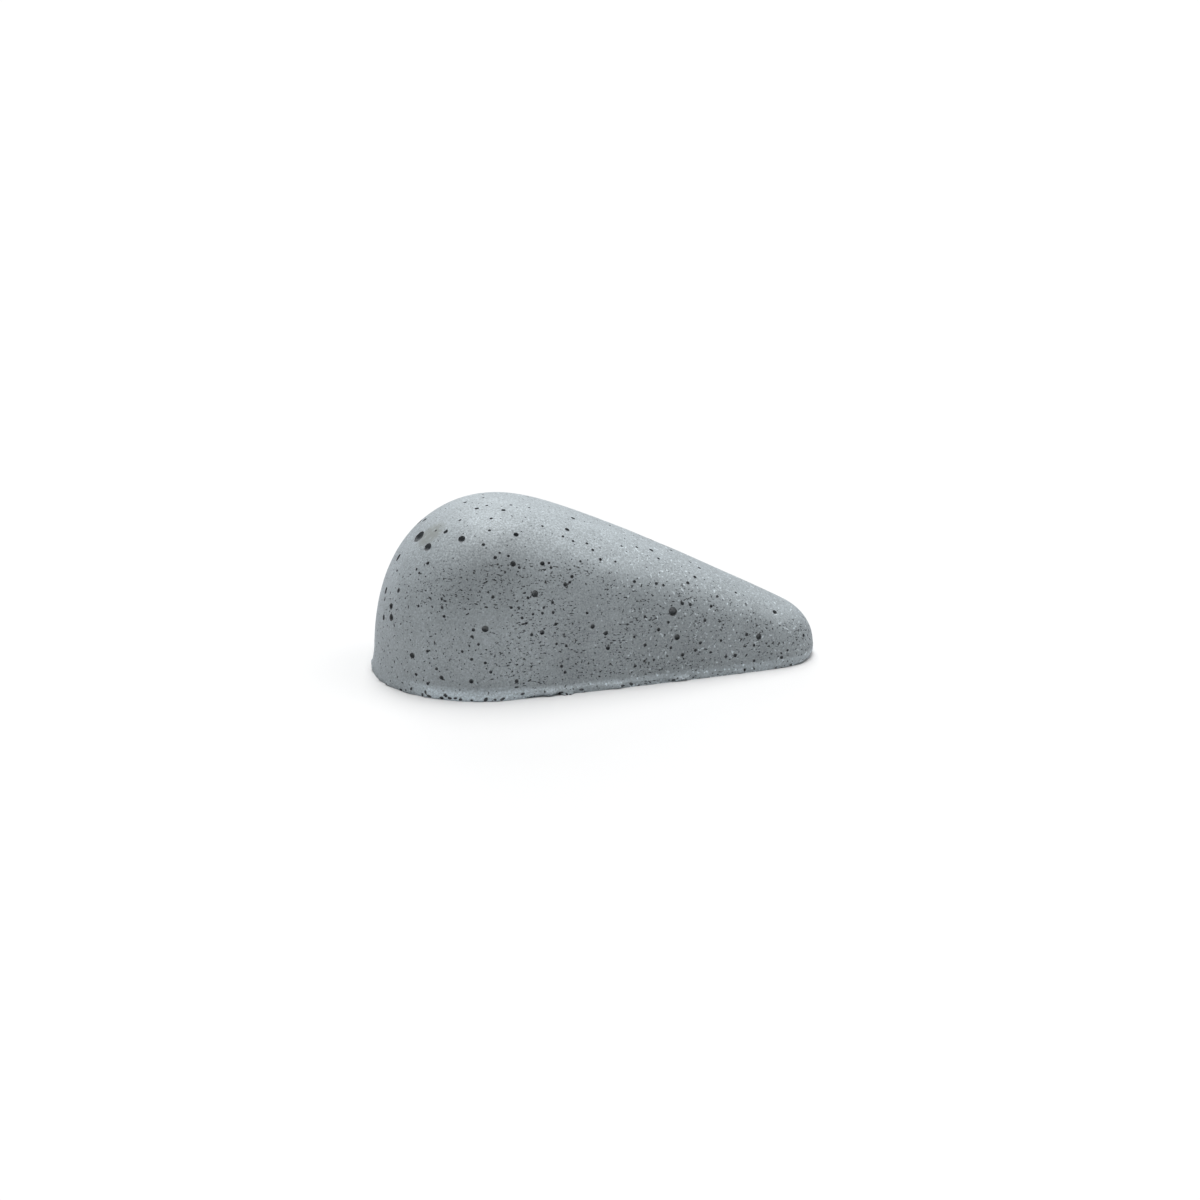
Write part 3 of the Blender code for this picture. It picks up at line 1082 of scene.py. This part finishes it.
@dataclass
class PlacedBubbles:
    """The bubbles whose places are known, cut at mouths of their own radii."""

    pits: tuple[Pit, ...]
    sunk: float = 0.32  # how far the middle lies below the skin, as a share of the radius
    widen: float = 1.08
    broken_rim: float = 0.00007  # how much wider still the mouth has broken
    facets: int = 2
    ragged: float = 0.12
    ragged_over: float = 0.0012  # radius of the bubble that this is a share of
    core: float = 0.001  # how far from the middle the search for the skin begins

    def points(self, blank: bpy.types.Object) -> bpy.types.Object:
        """Makes a point for each bubble.

        Args:
            blank: The stone that they are cut from.

        Returns:
            An object whose points carry the radii of each bubble.
        """
        skin = BVHTree.FromObject(blank, bpy.context.evaluated_depsgraph_get())
        places: list[Vector] = []
        radii: list[float] = []
        for pit in self.pits:
            turn = math.radians(pit.around)
            outwards = Vector((0, -math.cos(turn), math.sin(turn)))
            start = Vector((pit.along, 0, 0)) + outwards * self.core
            point, normal, _, _ = skin.ray_cast(start, outwards)
            radius = (self.widen * pit.mouth + self.broken_rim) / math.sqrt(1 - self.sunk**2)
            places.append(point - normal * self.sunk * radius)
            radii.extend((radius * pit.stretch, radius * pit.spread, radius))
        mesh = bpy.data.meshes.new("placed_bubbles")
        mesh.from_pydata(places, [], [])
        mesh.attributes.new("radii", "FLOAT_VECTOR", "POINT").data.foreach_set("vector", radii)
        points = bpy.data.objects.new("placed_bubbles", mesh)
        bpy.context.scene.collection.objects.link(points)
        return points

    def apply(self, piece: bpy.types.Object, skin: bpy.types.Material, pore: bpy.types.Material) -> None:
        """Cuts these bubbles from a piece.

        Args:
            piece: The stone.
            skin: Material of the uncut faces.
            pore: Material of the cut ones.
        """
        tree = Shaping.named("placed_bubbles")
        source = tree.size("Bubbles", "NodeSocketObject")
        ragged = tree.size("Ragged")
        scale = tree.size("Ragged over")
        spots = tree.add("GeometryNodeObjectInfo", {"Object": source}).outputs["Geometry"]
        radii = tree.add("GeometryNodeInputNamedAttribute", {"Name": "radii"}, data_type="FLOAT_VECTOR")
        ball = tree.add("GeometryNodeMeshIcoSphere", {"Radius": 1.0, "Subdivisions": self.facets})
        feeds = {"Points": spots, "Instance": ball.outputs[0], "Scale": tree.outlet(radii)}
        balls = tree.add("GeometryNodeInstanceOnPoints", feeds)
        cut(tree, balls.outputs[0], ragged, scale, skin, pore)
        points = self.points(piece)
        tree.run(piece, {"Bubbles": points, "Ragged": self.ragged, "Ragged over": self.ragged_over})
        bpy.data.objects.remove(points)


# ---------------------------------------------------------------------------------------------
# Finishes
# ---------------------------------------------------------------------------------------------


@dataclass(frozen=True)
class GrainGroup:
    """The grain of pumice cement, shared by the skin and the pores."""

    name: str = "cement_grain"
    cloud_layers: tuple[float, float] = (4.0, 0.55)  # how many finer layers it has, and how strong they are
    sand_layers: tuple[float, float] = (2.0, 0.7)
    sand_share: float = 0.75  # how much of the height is the sand's

    def build(self) -> bpy.types.NodeTree:
        """Builds the shader group: clouds, fine sand and a height for a bump.

        Returns:
            A group with inputs Place, Cloud pitch and Sand pitch, and outputs Cloud, Sand and Height.
        """
        tree = bpy.data.node_groups.new(self.name, "ShaderNodeTree")
        tree.interface.new_socket("Place", in_out="INPUT", socket_type="NodeSocketVector")
        for name in ("Cloud pitch", "Sand pitch"):
            tree.interface.new_socket(name, in_out="INPUT", socket_type="NodeSocketFloat")
        for name in ("Cloud", "Sand", "Height"):
            tree.interface.new_socket(name, in_out="OUTPUT", socket_type="NodeSocketFloat")
        graph = Graph(tree)
        source = tree.nodes.new("NodeGroupInput").outputs
        result = tree.nodes.new("NodeGroupOutput").inputs
        height: Feed = 0.0
        for name, layers, share in (
            ("Cloud", self.cloud_layers, 1 - self.sand_share),
            ("Sand", self.sand_layers, self.sand_share),
        ):
            scale = graph.maths("DIVIDE", 1.0, source[f"{name} pitch"])
            feeds = {"Vector": source["Place"], "Scale": scale, "Detail": layers[0], "Roughness": layers[1]}
            noise = graph.add("ShaderNodeTexNoise", feeds).outputs[0]
            height = graph.maths("MULTIPLY_ADD", noise, share, height)
            graph.feed(result[name], noise)
        graph.feed(result["Height"], height)
        return tree


@dataclass(frozen=True)
class CementFinish:
    """What the skin and the pores share: a dull shader over one grain."""

    name: str
    colour: Colour
    roughness: float = 0.65
    specular: float = 0.5
    cloud_pitch: float = 0.007
    sand_pitch: float = 0.00045
    bump: float = 0.00005

    def start(self, grain: bpy.types.NodeTree) -> tuple[Graph, bpy.types.Node, bpy.types.Node, Feed]:
        """Starts the material.

        Args:
            grain: The grain group.

        Returns:
            The graph, its Principled shader, its grain node and the place on the stone.
        """
        material = bpy.data.materials.new(self.name)
        material.use_nodes = True
        graph = Graph(material.node_tree)
        shader = material.node_tree.nodes["Principled BSDF"]
        shader.inputs["Roughness"].default_value = self.roughness
        shader.inputs["Metallic"].default_value = 0.0
        shader.inputs["Specular IOR Level"].default_value = self.specular
        place = graph.add("ShaderNodeTexCoord").outputs["Object"]
        node = graph.add("ShaderNodeGroup", node_tree=grain)
        graph.feed(node.inputs["Place"], place)
        graph.feed(node.inputs["Cloud pitch"], self.cloud_pitch)
        graph.feed(node.inputs["Sand pitch"], self.sand_pitch)
        return graph, shader, node, place

    def raise_grain(self, graph: Graph, shader: bpy.types.Node, height: Feed) -> None:
        """Feeds a height to the shader's normal through a bump."""
        bump = graph.add("ShaderNodeBump", {"Height": height, "Distance": self.bump, "Strength": 1.0})
        graph.feed(shader.inputs["Normal"], bump.outputs["Normal"])


@dataclass(frozen=True)
class PoreFinish(CementFinish):
    """The inside of a bubble, in painted shade: darkest at the mouth, lighter down its walls and palest on
    the floor of the deepest.
    """

    deep_colour: Colour = (0.200, 0.212, 0.222)
    dark_at: float = 0.00030
    floor_colour: Colour = (0.375, 0.395, 0.410)
    floor_from: tuple[float, float] = (0.0006, 0.0013)
    sand_depth: float = 1.6  # how much the colour varies from grain to grain,
    sand_least: float = 0.2  # and how much of it the darkest grain keeps

    def build(self, grain: bpy.types.NodeTree) -> bpy.types.Material:
        """Builds the material.

        Args:
            grain: The grain group.

        Returns:
            The material.
        """
        graph, shader, node, _ = self.start(grain)
        depth = graph.mark("depth")
        # Painted shade: the walls are darkest at the mouth and lighten with depth, the floor of the deepest
        # palest
        walls = graph.mix(graph.between(depth, 0.0, self.dark_at), self.colour, self.deep_colour)
        mixed = graph.mix(graph.between(depth, *self.floor_from), walls, self.floor_colour)
        spread = graph.maths("MULTIPLY_ADD", node.outputs["Sand"], self.sand_depth, self.sand_least)
        graph.feed(shader.inputs["Base Color"], graph.vector("SCALE", a=mixed, scale=spread))
        self.raise_grain(graph, shader, node.outputs["Height"])
        return bpy.data.materials[self.name]


@dataclass(frozen=True)
class SkinFinish(CementFinish):
    """The mould skin: cloudy cool grey, with fine dark scores and specks where it is steep."""

    cloud_depth: float = 0.35  # how much the colour varies from cloud to cloud,
    sand_depth: float = 2.0  # from grain to grain,
    sand_eased: float = 0.8  # and how much less from grain to grain where it is steep
    mark_painted_shade: float = 0.92  # how much painted shade darkens a score or a speck,
    mark_dent: float = 0.8  # and how deep, in heights of the grain
    score_pitch: float = 0.0008
    score_lie: tuple[float, float, float] = (1.0, 1.0, 2.0)
    score_swirl: float = 0.5
    score_bar: float = 0.80  # how high the noise stands in a score where there are fewest,
    score_drop: float = 0.175  # and how much less high where there are most
    score_edge: float = 0.035
    speck_sizes: tuple[tuple[float, float], ...] = ((0.0010, 0.00017), (0.0006, 0.00011))  # pitch and radius
    speck_bar: float = 0.96  # share of the cells with no speck where there are fewest,
    speck_drop: float = 0.5  # and how much less where there are most
    speck_least: float = 0.4  # the smallest, as a share of the radius
    speck_edge: float = 0.35
    fleck_pitch: float = 0.0009
    fleck_edge: tuple[float, float] = (0.66, 0.78)
    fleck_from: tuple[float, float] = (-0.02, 0.02)  # where they grow larger and stronger, towards the tip
    fleck_larger: float = 0.05
    fleck_least: float = 0.4
    fleck_stronger: float = 0.8
    fleck_lift: float = 0.5  # how much paler the strongest would be at a strength of 1
    bare_from: tuple[float, float] = (0.0010, 0.0013)  # heights between which the lip has no marks
    bare_to: tuple[float, float] = (0.0024, 0.0030)
    end_from: tuple[float, float] = (-0.052, -0.036)  # where the marks thicken past the wide end
    end_least: float = 0.3
    patch_pitch: float = 0.008  # the size of the patches with more marks
    patch_edge: tuple[float, float] = (0.36, 0.62)
    patch_least: float = 0.42
    patch_more: float = 0.80
    crowded_over: tuple[float, float] = (0.020, 0.024)  # the shoulder has the most marks
    crowded_before: tuple[float, float] = (-0.012, 0.0)
    crowded: float = 1.3
    sparse_under: tuple[float, float] = (0.018, 0.025)  # and the foot of the wide end fewer
    sparse_before: tuple[float, float] = (-0.030, -0.018)
    sparse: float = 0.4
    # Painted light on the lip: a paler, bluer colour standing in for light caught by its flare and a
    # reflection of the sky
    lip_light_colour: Colour = (0.735, 0.830, 0.885)
    lip_begins: tuple[float, float] = (-0.0012, 0.0008)
    lip_fades: tuple[float, float] = (0.0018, 0.0037)
    lip_starts: tuple[float, float] = (-0.051, -0.040)
    lip_thins: tuple[float, float] = (-0.026, -0.012)
    lip_lost: float = 0.64  # how much of the painted light is lost past there,
    lip_lowered: float = 0.4  # and how much lower it then ends
    under_facing: tuple[float, float] = (-0.97, -0.85)  # the flat face faces up less, and the skin more
    shoulder_shade: float = 0.28  # how much painted shade darkens the wide end's shoulder
    shoulder_foot: tuple[float, float] = (0.0, 0.45)  # how far up the skin faces where this begins,
    shoulder_top: tuple[float, float] = (0.72, 0.95)  # and where it ends
    shoulder_start: tuple[float, float] = (-0.052, -0.030)
    shoulder_end: tuple[float, float] = (-0.024, -0.010)
    side_shade: float = 0.07  # how much painted shade darkens the steep sides,
    middle_shade: float = 0.13  # and how much more the middle of each side has
    side_top: tuple[float, float] = (0.40, 0.72)
    middle_from: tuple[float, float] = (-0.020, -0.008)
    middle_to: tuple[float, float] = (0.014, 0.032)
    tip_shade: float = 0.12  # how much painted shade darkens the tip
    tip_from: tuple[float, float] = (0.006, 0.026)
    haze: float = 0.10
    haze_colour: Colour = (0.75, 0.84, 1.0)
    stain_middle: tuple[float, float, float] = (-0.0407, -0.0072, 0.0362)
    stain_radius: float = 0.0050
    stain_core: float = 0.45  # how much of the radius is stained in full
    stain_pitch: float = 0.0012
    stain_edge: tuple[float, float] = (0.22, 0.52)
    stain_colour: Colour = (0.265, 0.286, 0.278)

    def build(self, grain: bpy.types.NodeTree) -> bpy.types.Material:
        """Builds the material.

        Args:
            grain: The grain group.

        Returns:
            The material.
        """
        graph, shader, node, place = self.start(grain)
        thick = self.thickness(graph, place)
        dark = graph.maths("MAXIMUM", self.scores(graph, place, thick), self.specks(graph, place, thick))
        coarse = graph.maths("MULTIPLY_ADD", graph.mark("steep"), -self.sand_eased, self.sand_depth)
        shade = graph.chain(
            "MULTIPLY",
            self.varied(graph, node.outputs["Cloud"], self.cloud_depth),
            self.varied(graph, node.outputs["Sand"], coarse),
            # painted shade on the shoulder, the steep sides and the tip
            self.painted_shade(graph, place),
            # painted shade in the scores and specks, which stand for tiny pores and scores; the bump only
            # dents them
            graph.maths("MULTIPLY_ADD", dark, -self.mark_painted_shade, 1.0),
        )
        shade = graph.maths("MULTIPLY_ADD", self.flecks(graph, place), self.fleck_lift, shade)
        # painted light on the lip, times the colour worked out above
        tint = graph.vector("SCALE", a=self.painted_lip_light(graph, place), scale=shade)
        stained = graph.mix(self.stain(graph, place), tint, self.stain_colour)
        graph.feed(shader.inputs["Base Color"], stained)
        shader.inputs["Sheen Weight"].default_value = self.haze
        shader.inputs["Sheen Tint"].default_value = (*self.haze_colour, 1.0)
        height = graph.maths("MULTIPLY_ADD", dark, -self.mark_dent, node.outputs["Height"])
        self.raise_grain(graph, shader, height)
        return bpy.data.materials[self.name]

    @staticmethod
    def varied(graph: Graph, noise: Feed, depth: Feed) -> bpy.types.NodeSocket:
        """Turns a noise from 0 to 1 into a factor that varies about 1 by a depth."""
        return graph.maths("MULTIPLY_ADD", graph.maths("SUBTRACT", noise, 0.5), depth, 1.0)

    def thickness(self, graph: Graph, place: Feed) -> bpy.types.NodeSocket:
        """Works out how thickly the skin is marked: most where it is steep, least on the lip.

        Args:
            graph: The material's graph.
            place: The place on the stone.

        Returns:
            0 where there are no scores and fewest specks, and 1 where there are most of both.
        """
        spot = graph.split(place)
        above = graph.between(spot["Z"], *self.bare_to)
        off_lip = graph.maths("MAXIMUM", above, graph.fading(spot["Z"], *self.bare_from))
        from_end = graph.between(spot["X"], *self.end_from)
        past_end = graph.maths("MULTIPLY_ADD", from_end, 1 - self.end_least, self.end_least)
        low_down = graph.fading(spot["Z"], *self.sparse_under)
        wide_foot = graph.maths("MULTIPLY", graph.fading(spot["X"], *self.sparse_before), low_down)
        kept = graph.maths("MULTIPLY_ADD", wide_foot, -self.sparse, 1.0)

        patches = graph.between(graph.noise(place, self.patch_pitch, detail=1.0), *self.patch_edge)
        patchy = graph.maths("MULTIPLY_ADD", patches, self.patch_more, self.patch_least)
        high_up = graph.between(spot["Z"], *self.crowded_over)
        shoulder = graph.maths("MULTIPLY", graph.fading(spot["X"], *self.crowded_before), high_up)
        patchy = graph.maths("MAXIMUM", patchy, graph.maths("MULTIPLY", shoulder, self.crowded))
        thick = graph.chain("MULTIPLY", graph.mark("steep"), off_lip, past_end, kept, patchy)
        return graph.maths("MINIMUM", thick, 1.0)

    def underneath(self, graph: Graph) -> bpy.types.NodeSocket:
        """1 on the flat face and 0 on the skin."""
        return graph.fading(graph.mark("upward"), *self.under_facing)

    def painted_shade(self, graph: Graph, place: Feed) -> bpy.types.NodeSocket:
        """Works out how much of its colour the skin keeps under painted shade: least on the wide end's
        shoulder.

        Args:
            graph: The material's graph.
            place: The place on the stone.

        Returns:
            The share that it keeps.
        """
        # Painted shade, set by how far up the skin faces and where it lies along the stone
        upward = graph.mark("upward")
        x = graph.split(place)["X"]
        wide_end = graph.maths(
            "MULTIPLY", graph.fading(x, *self.shoulder_end), graph.between(x, *self.shoulder_start)
        )
        foot = graph.between(upward, *self.shoulder_foot)
        shoulder = graph.chain("MULTIPLY", foot, graph.fading(upward, *self.shoulder_top), wide_end)
        kept = graph.maths("MULTIPLY_ADD", shoulder, -self.shoulder_shade, 1.0)
        past = graph.fading(x, *self.middle_to)
        middle = graph.maths("MULTIPLY", graph.between(x, *self.middle_from), past)
        side_painted_shade = graph.maths("MULTIPLY_ADD", middle, self.middle_shade, self.side_shade)
        side = graph.maths("SUBTRACT", graph.fading(upward, *self.side_top), self.underneath(graph))
        kept = graph.maths("SUBTRACT", kept, graph.maths("MULTIPLY", side, side_painted_shade))
        return graph.maths("MULTIPLY_ADD", graph.between(x, *self.tip_from), -self.tip_shade, kept)

    def painted_lip_light(self, graph: Graph, place: Feed) -> bpy.types.NodeSocket:
        """Works out the skin's colour, with painted light on the lip: paler and bluer there.

        Args:
            graph: The material's graph.
            place: The place on the stone.

        Returns:
            The colour.
        """
        spot = graph.split(place)
        past = graph.between(spot["X"], *self.lip_thins)
        raised = graph.maths("MULTIPLY_ADD", past, self.lip_lowered, 1.0)
        off_lip = graph.chain(
            "MAXIMUM",
            graph.between(graph.maths("MULTIPLY", spot["Z"], raised), *self.lip_fades),
            graph.fading(spot["Z"], *self.lip_begins),
            graph.fading(spot["X"], *self.lip_starts),
            graph.maths("MULTIPLY", past, self.lip_lost),
            self.underneath(graph),
        )
        return graph.mix(off_lip, self.lip_light_colour, self.colour)

    def scores(self, graph: Graph, place: Feed, thick: Feed) -> bpy.types.NodeSocket:
        """Makes short scores that lie along the stone: the tops of a noise that is squeezed upright.

        Args:
            graph: The material's graph.
            place: The place on the stone.
            thick: How many there are, from 0 to 1.

        Returns:
            1 in a score.
        """
        squeezed = graph.vector("MULTIPLY", a=place, b=self.score_lie)
        noise = graph.noise(squeezed, self.score_pitch, detail=1.0, swirl=self.score_swirl)
        bar = graph.maths("MULTIPLY_ADD", thick, -self.score_drop, self.score_bar)
        return graph.between(graph.maths("SUBTRACT", noise, bar), 0.0, self.score_edge)

    def specks(self, graph: Graph, place: Feed, thick: Feed) -> bpy.types.NodeSocket:
        """Makes round dark specks of two sizes, each in some of the cells of a Voronoi pattern.

        Args:
            graph: The material's graph.
            place: The place on the stone.
            thick: How many of the cells have one, from 0 to 1.

        Returns:
            1 in a speck.
        """
        bare = graph.maths("MULTIPLY_ADD", thick, -self.speck_drop, self.speck_bar)
        found: Feed = 0.0
        for pitch, radius in self.speck_sizes:
            cells = graph.add("ShaderNodeTexVoronoi", {"Vector": place, "Scale": 1.0 / pitch}).outputs
            draw = graph.split(cells["Color"])
            size = graph.maths("MULTIPLY_ADD", draw["Y"], 1 - self.speck_least, self.speck_least)
            reach = graph.maths("MULTIPLY", size, radius / pitch)
            inside = graph.maths("SUBTRACT", 1.0, graph.maths("DIVIDE", cells["Distance"], reach))
            drawn = graph.maths("GREATER_THAN", draw["X"], bare)
            speck = graph.maths("MULTIPLY", graph.between(inside, 0.0, self.speck_edge), drawn)
            found = graph.maths("MAXIMUM", found, speck)
        return found

    def flecks(self, graph: Graph, place: Feed) -> bpy.types.NodeSocket:
        """Makes pale flecks of bare pumice, thicker towards the tip.

        Args:
            graph: The material's graph.
            place: The place on the stone.

        Returns:
            How strong the fleck is, from 0 where there is none.
        """
        near_tip = graph.between(graph.split(place)["X"], *self.fleck_from)
        noise = graph.noise(place, self.fleck_pitch, detail=1.5)
        noise = graph.maths("MULTIPLY_ADD", near_tip, self.fleck_larger, noise)
        strength = graph.maths("MULTIPLY_ADD", near_tip, self.fleck_stronger, self.fleck_least)
        return graph.maths("MULTIPLY", graph.between(noise, *self.fleck_edge), strength)

    def stain(self, graph: Graph, place: Feed) -> bpy.types.NodeSocket:
        """Makes one small brownish stain beside the largest pits.

        Args:
            graph: The material's graph.
            place: The place on the stone.

        Returns:
            1 where the stain is full.
        """
        distance = graph.vector("DISTANCE", a=place, b=self.stain_middle)
        patch = graph.fading(distance, self.stain_core * self.stain_radius, self.stain_radius)
        broken = graph.between(graph.noise(place, self.stain_pitch, detail=2.0), *self.stain_edge)
        return graph.maths("MULTIPLY", patch, broken)


@dataclass(frozen=True)
class FloorFinish:
    """Plain pale paper."""

    name: str = "pale_floor"
    colour: Colour = (0.80, 0.80, 0.80)
    roughness: float = 0.9

    def build(self) -> bpy.types.Material:
        """Builds the material.

        Returns:
            The material.
        """
        material = bpy.data.materials.new(self.name)
        material.use_nodes = True
        shader = material.node_tree.nodes["Principled BSDF"]
        shader.inputs["Base Color"].default_value = (*self.colour, 1.0)
        shader.inputs["Roughness"].default_value = self.roughness
        shader.inputs["Specular IOR Level"].default_value = 0.0
        return material


# ---------------------------------------------------------------------------------------------
# The stone
# ---------------------------------------------------------------------------------------------


@dataclass
class PumiceStone:
    """The whole casting, from its form to its finish."""

    form: StoneForm
    relief: Relief = Relief()
    steep_from: tuple[float, float] = (0.66, 0.90)  # how far up the skin faces where the marks begin,
    steep_to: tuple[float, float] = (0.40, 0.58)  # and where they are thickest, before and past the middle
    middle: tuple[float, float] = (-0.015, 0.02)
    crisp_over: float = math.radians(35)  # edges that bend more than this are sharp
    skin_finish: SkinFinish = SkinFinish("pumice_skin", (0.398, 0.441, 0.463))
    # The pores are painted dark: painted shade inside the bubbles
    pore_finish: PoreFinish = PoreFinish("pumice_pores", (0.060, 0.063, 0.065), 0.92, 0.25, bump=0.00003)
    runs: tuple[BubbleRun, ...] = (
        BubbleRun("far_bubbles", Zone.FAR, 0.0034, 30000, (0.00028, 0.0011), 4.0, 0.25, seed=3),
        BubbleRun("fine_bubbles", Zone.SKIN, 0.0019, 90000, (0.00014, 0.00023), 1.0, 0.8, facets=1, seed=12),
        BubbleRun(
            "flank_bubbles", Zone.FLANK, 0.0013, 320000, (0.00011, 0.00023), 2.5, 3.5, 0.3, facets=1, seed=21
        ),
        BubbleRun("lip_holes", Zone.LIP, 0.0017, 300000, (0.00018, 0.00045), 2.0, 1.6, 0.3, 2, 0.4, 31),
        BubbleRun("face_bubbles", Zone.FACE, 0.0034, 40000, (0.00025, 0.0013), 3.0, 0.3, facets=2, seed=41),
        BubbleRun("face_fine", Zone.FACE, 0.0018, 120000, (0.00012, 0.00026), 1.0, 0.8, facets=1, seed=43),
    )

    def build(self) -> bpy.types.Object:
        """Builds, cuts and dresses the stone.

        Returns:
            The finished piece.
        """
        grain = GrainGroup().build()
        skin = self.skin_finish.build(grain)
        pore = self.pore_finish.build(grain)
        stone = Blank(self.form).build()
        for coat in (skin, pore):
            stone.data.materials.append(coat)
        # Without this attribute the first cut gives its faces the skin's material
        stone.data.attributes.new("material_index", "INT", "FACE")
        self.relief.apply(stone)
        plain = BVHTree.FromObject(stone, bpy.context.evaluated_depsgraph_get())
        # Neighbours are cut in turn, because bubbles that overlap can't be cut at once
        for every_other in (NEAR_PITS[::2], NEAR_PITS[1::2]):
            PlacedBubbles(every_other).apply(stone, skin, pore)
        PlacedBubbles(LIP_HOLES, sunk=0.2, widen=1.25, broken_rim=0.0, ragged=0.4).apply(stone, skin, pore)
        LOG.info("placed bubbles cut: %d faces", len(stone.data.polygons))
        for run in self.runs:
            run.apply(stone, self.relief.lip_top, skin, pore)
            LOG.info("%s cut: %d faces", run.name, len(stone.data.polygons))
        self.mark_skin(stone, plain)
        stone.data.shade_smooth()
        stone.data.set_sharp_from_angle(angle=self.crisp_over)
        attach(stone, "root")
        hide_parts("pumice_stone")
        return stone

    def mark_skin(self, stone: bpy.types.Object, plain: BVHTree) -> None:
        """Writes how far up the uncut skin faces, how steep that is and how deep each point lies.

        Args:
            stone: The cut stone.
            plain: The stone before it was cut.
        """
        marks: dict[str, list[float]] = {"upward": [], "steep": [], "depth": []}
        for vertex in stone.data.vertices:
            _, normal, _, depth = plain.find_nearest(vertex.co)
            begin = np.interp(vertex.co.x, self.middle, self.steep_from)
            full = np.interp(vertex.co.x, self.middle, self.steep_to)
            share = min(max((begin - normal.z) / (begin - full), 0.0), 1.0)
            marks["steep"].append(share * share * (3 - 2 * share))
            marks["depth"].append(depth)
            marks["upward"].append(normal.z)
        for name, values in marks.items():
            stone.data.attributes.new(name, "FLOAT", "POINT").data.foreach_set("value", values)


# ---------------------------------------------------------------------------------------------
# The studio
# ---------------------------------------------------------------------------------------------


class Lamp(NamedTuple):
    """A broad soft light, as wide as a softbox looks from the stone."""

    name: str
    lean: tuple[float, float]  # degrees that it leans from straight overhead, about X and about Y
    strength: float
    softness: float = math.radians(34)


@dataclass(frozen=True)
class Studio:
    """A pale floor, five broad soft lights, an even sky and a long lens."""

    heading: float = math.radians(-7.681)
    elevation: float = math.radians(17.184)
    distance: float = 0.7
    aim: tuple[float, float, float] = (0.0003, 0.0, 0.02)
    lens: float = 84.7  # focal length in millimetres
    film: float = 36.0  # and the width of the film
    nearest: float = 0.01
    shift: tuple[float, float] = (0.0043, -0.01417)
    floor_side: float = 16.0
    lamps: tuple[Lamp, ...] = (
        Lamp("overhead", (0.0, 0.0), 1.85),
        Lamp("behind", (-25.0, 0.0), 1.15),
        Lamp("low_behind", (-65.0, 0.0), 0.46),
        Lamp("right", (0.0, 35.0), 0.60),
        Lamp("left", (0.0, -35.0), 0.22),
    )
    sky: Colour = (0.93, 0.97, 1.0)
    sky_strength: float = 0.08

    def build(self) -> None:
        """Sets up the camera, the lights and the floor."""
        self.add_camera()
        self.add_lights()
        self.add_floor()

    def add_camera(self) -> None:
        """Adds the camera and makes it the scene's."""
        back = Vector(
            (
                math.sin(self.heading) * math.cos(self.elevation),
                -math.cos(self.heading) * math.cos(self.elevation),
                math.sin(self.elevation),
            )
        )
        lens = bpy.data.cameras.new("camera")
        lens.lens = self.lens
        lens.sensor_width = self.film
        lens.shift_x, lens.shift_y = self.shift
        lens.clip_start = self.nearest
        camera = bpy.data.objects.new("camera", lens)
        camera.location = Vector(self.aim) + back * self.distance
        camera.rotation_euler = back.to_track_quat("Z", "Y").to_euler()
        bpy.context.scene.collection.objects.link(camera)
        bpy.context.scene.camera = camera

    def add_lights(self) -> None:
        """Adds the lamps and an even sky."""
        for lamp in self.lamps:
            light = bpy.data.lights.new(lamp.name, "SUN")
            light.energy = lamp.strength
            light.angle = lamp.softness
            source = bpy.data.objects.new(lamp.name, light)
            source.location = (0.0, 0.0, 1.0)
            source.rotation_euler = (math.radians(lamp.lean[0]), math.radians(lamp.lean[1]), 0.0)
            bpy.context.scene.collection.objects.link(source)
        world = bpy.data.worlds.new("studio")
        world.use_nodes = True
        background = world.node_tree.nodes["Background"]
        background.inputs["Color"].default_value = (*self.sky, 1.0)
        background.inputs["Strength"].default_value = self.sky_strength
        bpy.context.scene.world = world
        bpy.context.scene.view_settings.view_transform = "Standard"

    def add_floor(self) -> None:
        """Adds the floor."""
        bm = bmesh.new()
        bmesh.ops.create_grid(bm, x_segments=1, y_segments=1, size=self.floor_side / 2)
        mesh = bpy.data.meshes.new("floor")
        bm.to_mesh(mesh)
        bm.free()
        mesh.materials.append(FloorFinish().build())
        floor = bpy.data.objects.new("floor", mesh)
        bpy.context.scene.collection.objects.link(floor)


def main() -> None:
    """Builds the stone and the studio."""
    logging.basicConfig(level=logging.INFO, format="%(name)s: %(message)s")
    low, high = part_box("pumice_stone")
    form = StoneForm(length=high[0] - low[0], height=high[2] - low[2])
    stone = PumiceStone(form).build()
    LOG.info("%s: %d faces", stone.name, len(stone.data.polygons))
    Studio().build()
    LOG.info("studio: camera, lights and floor")


if __name__ == "__main__":
    main()
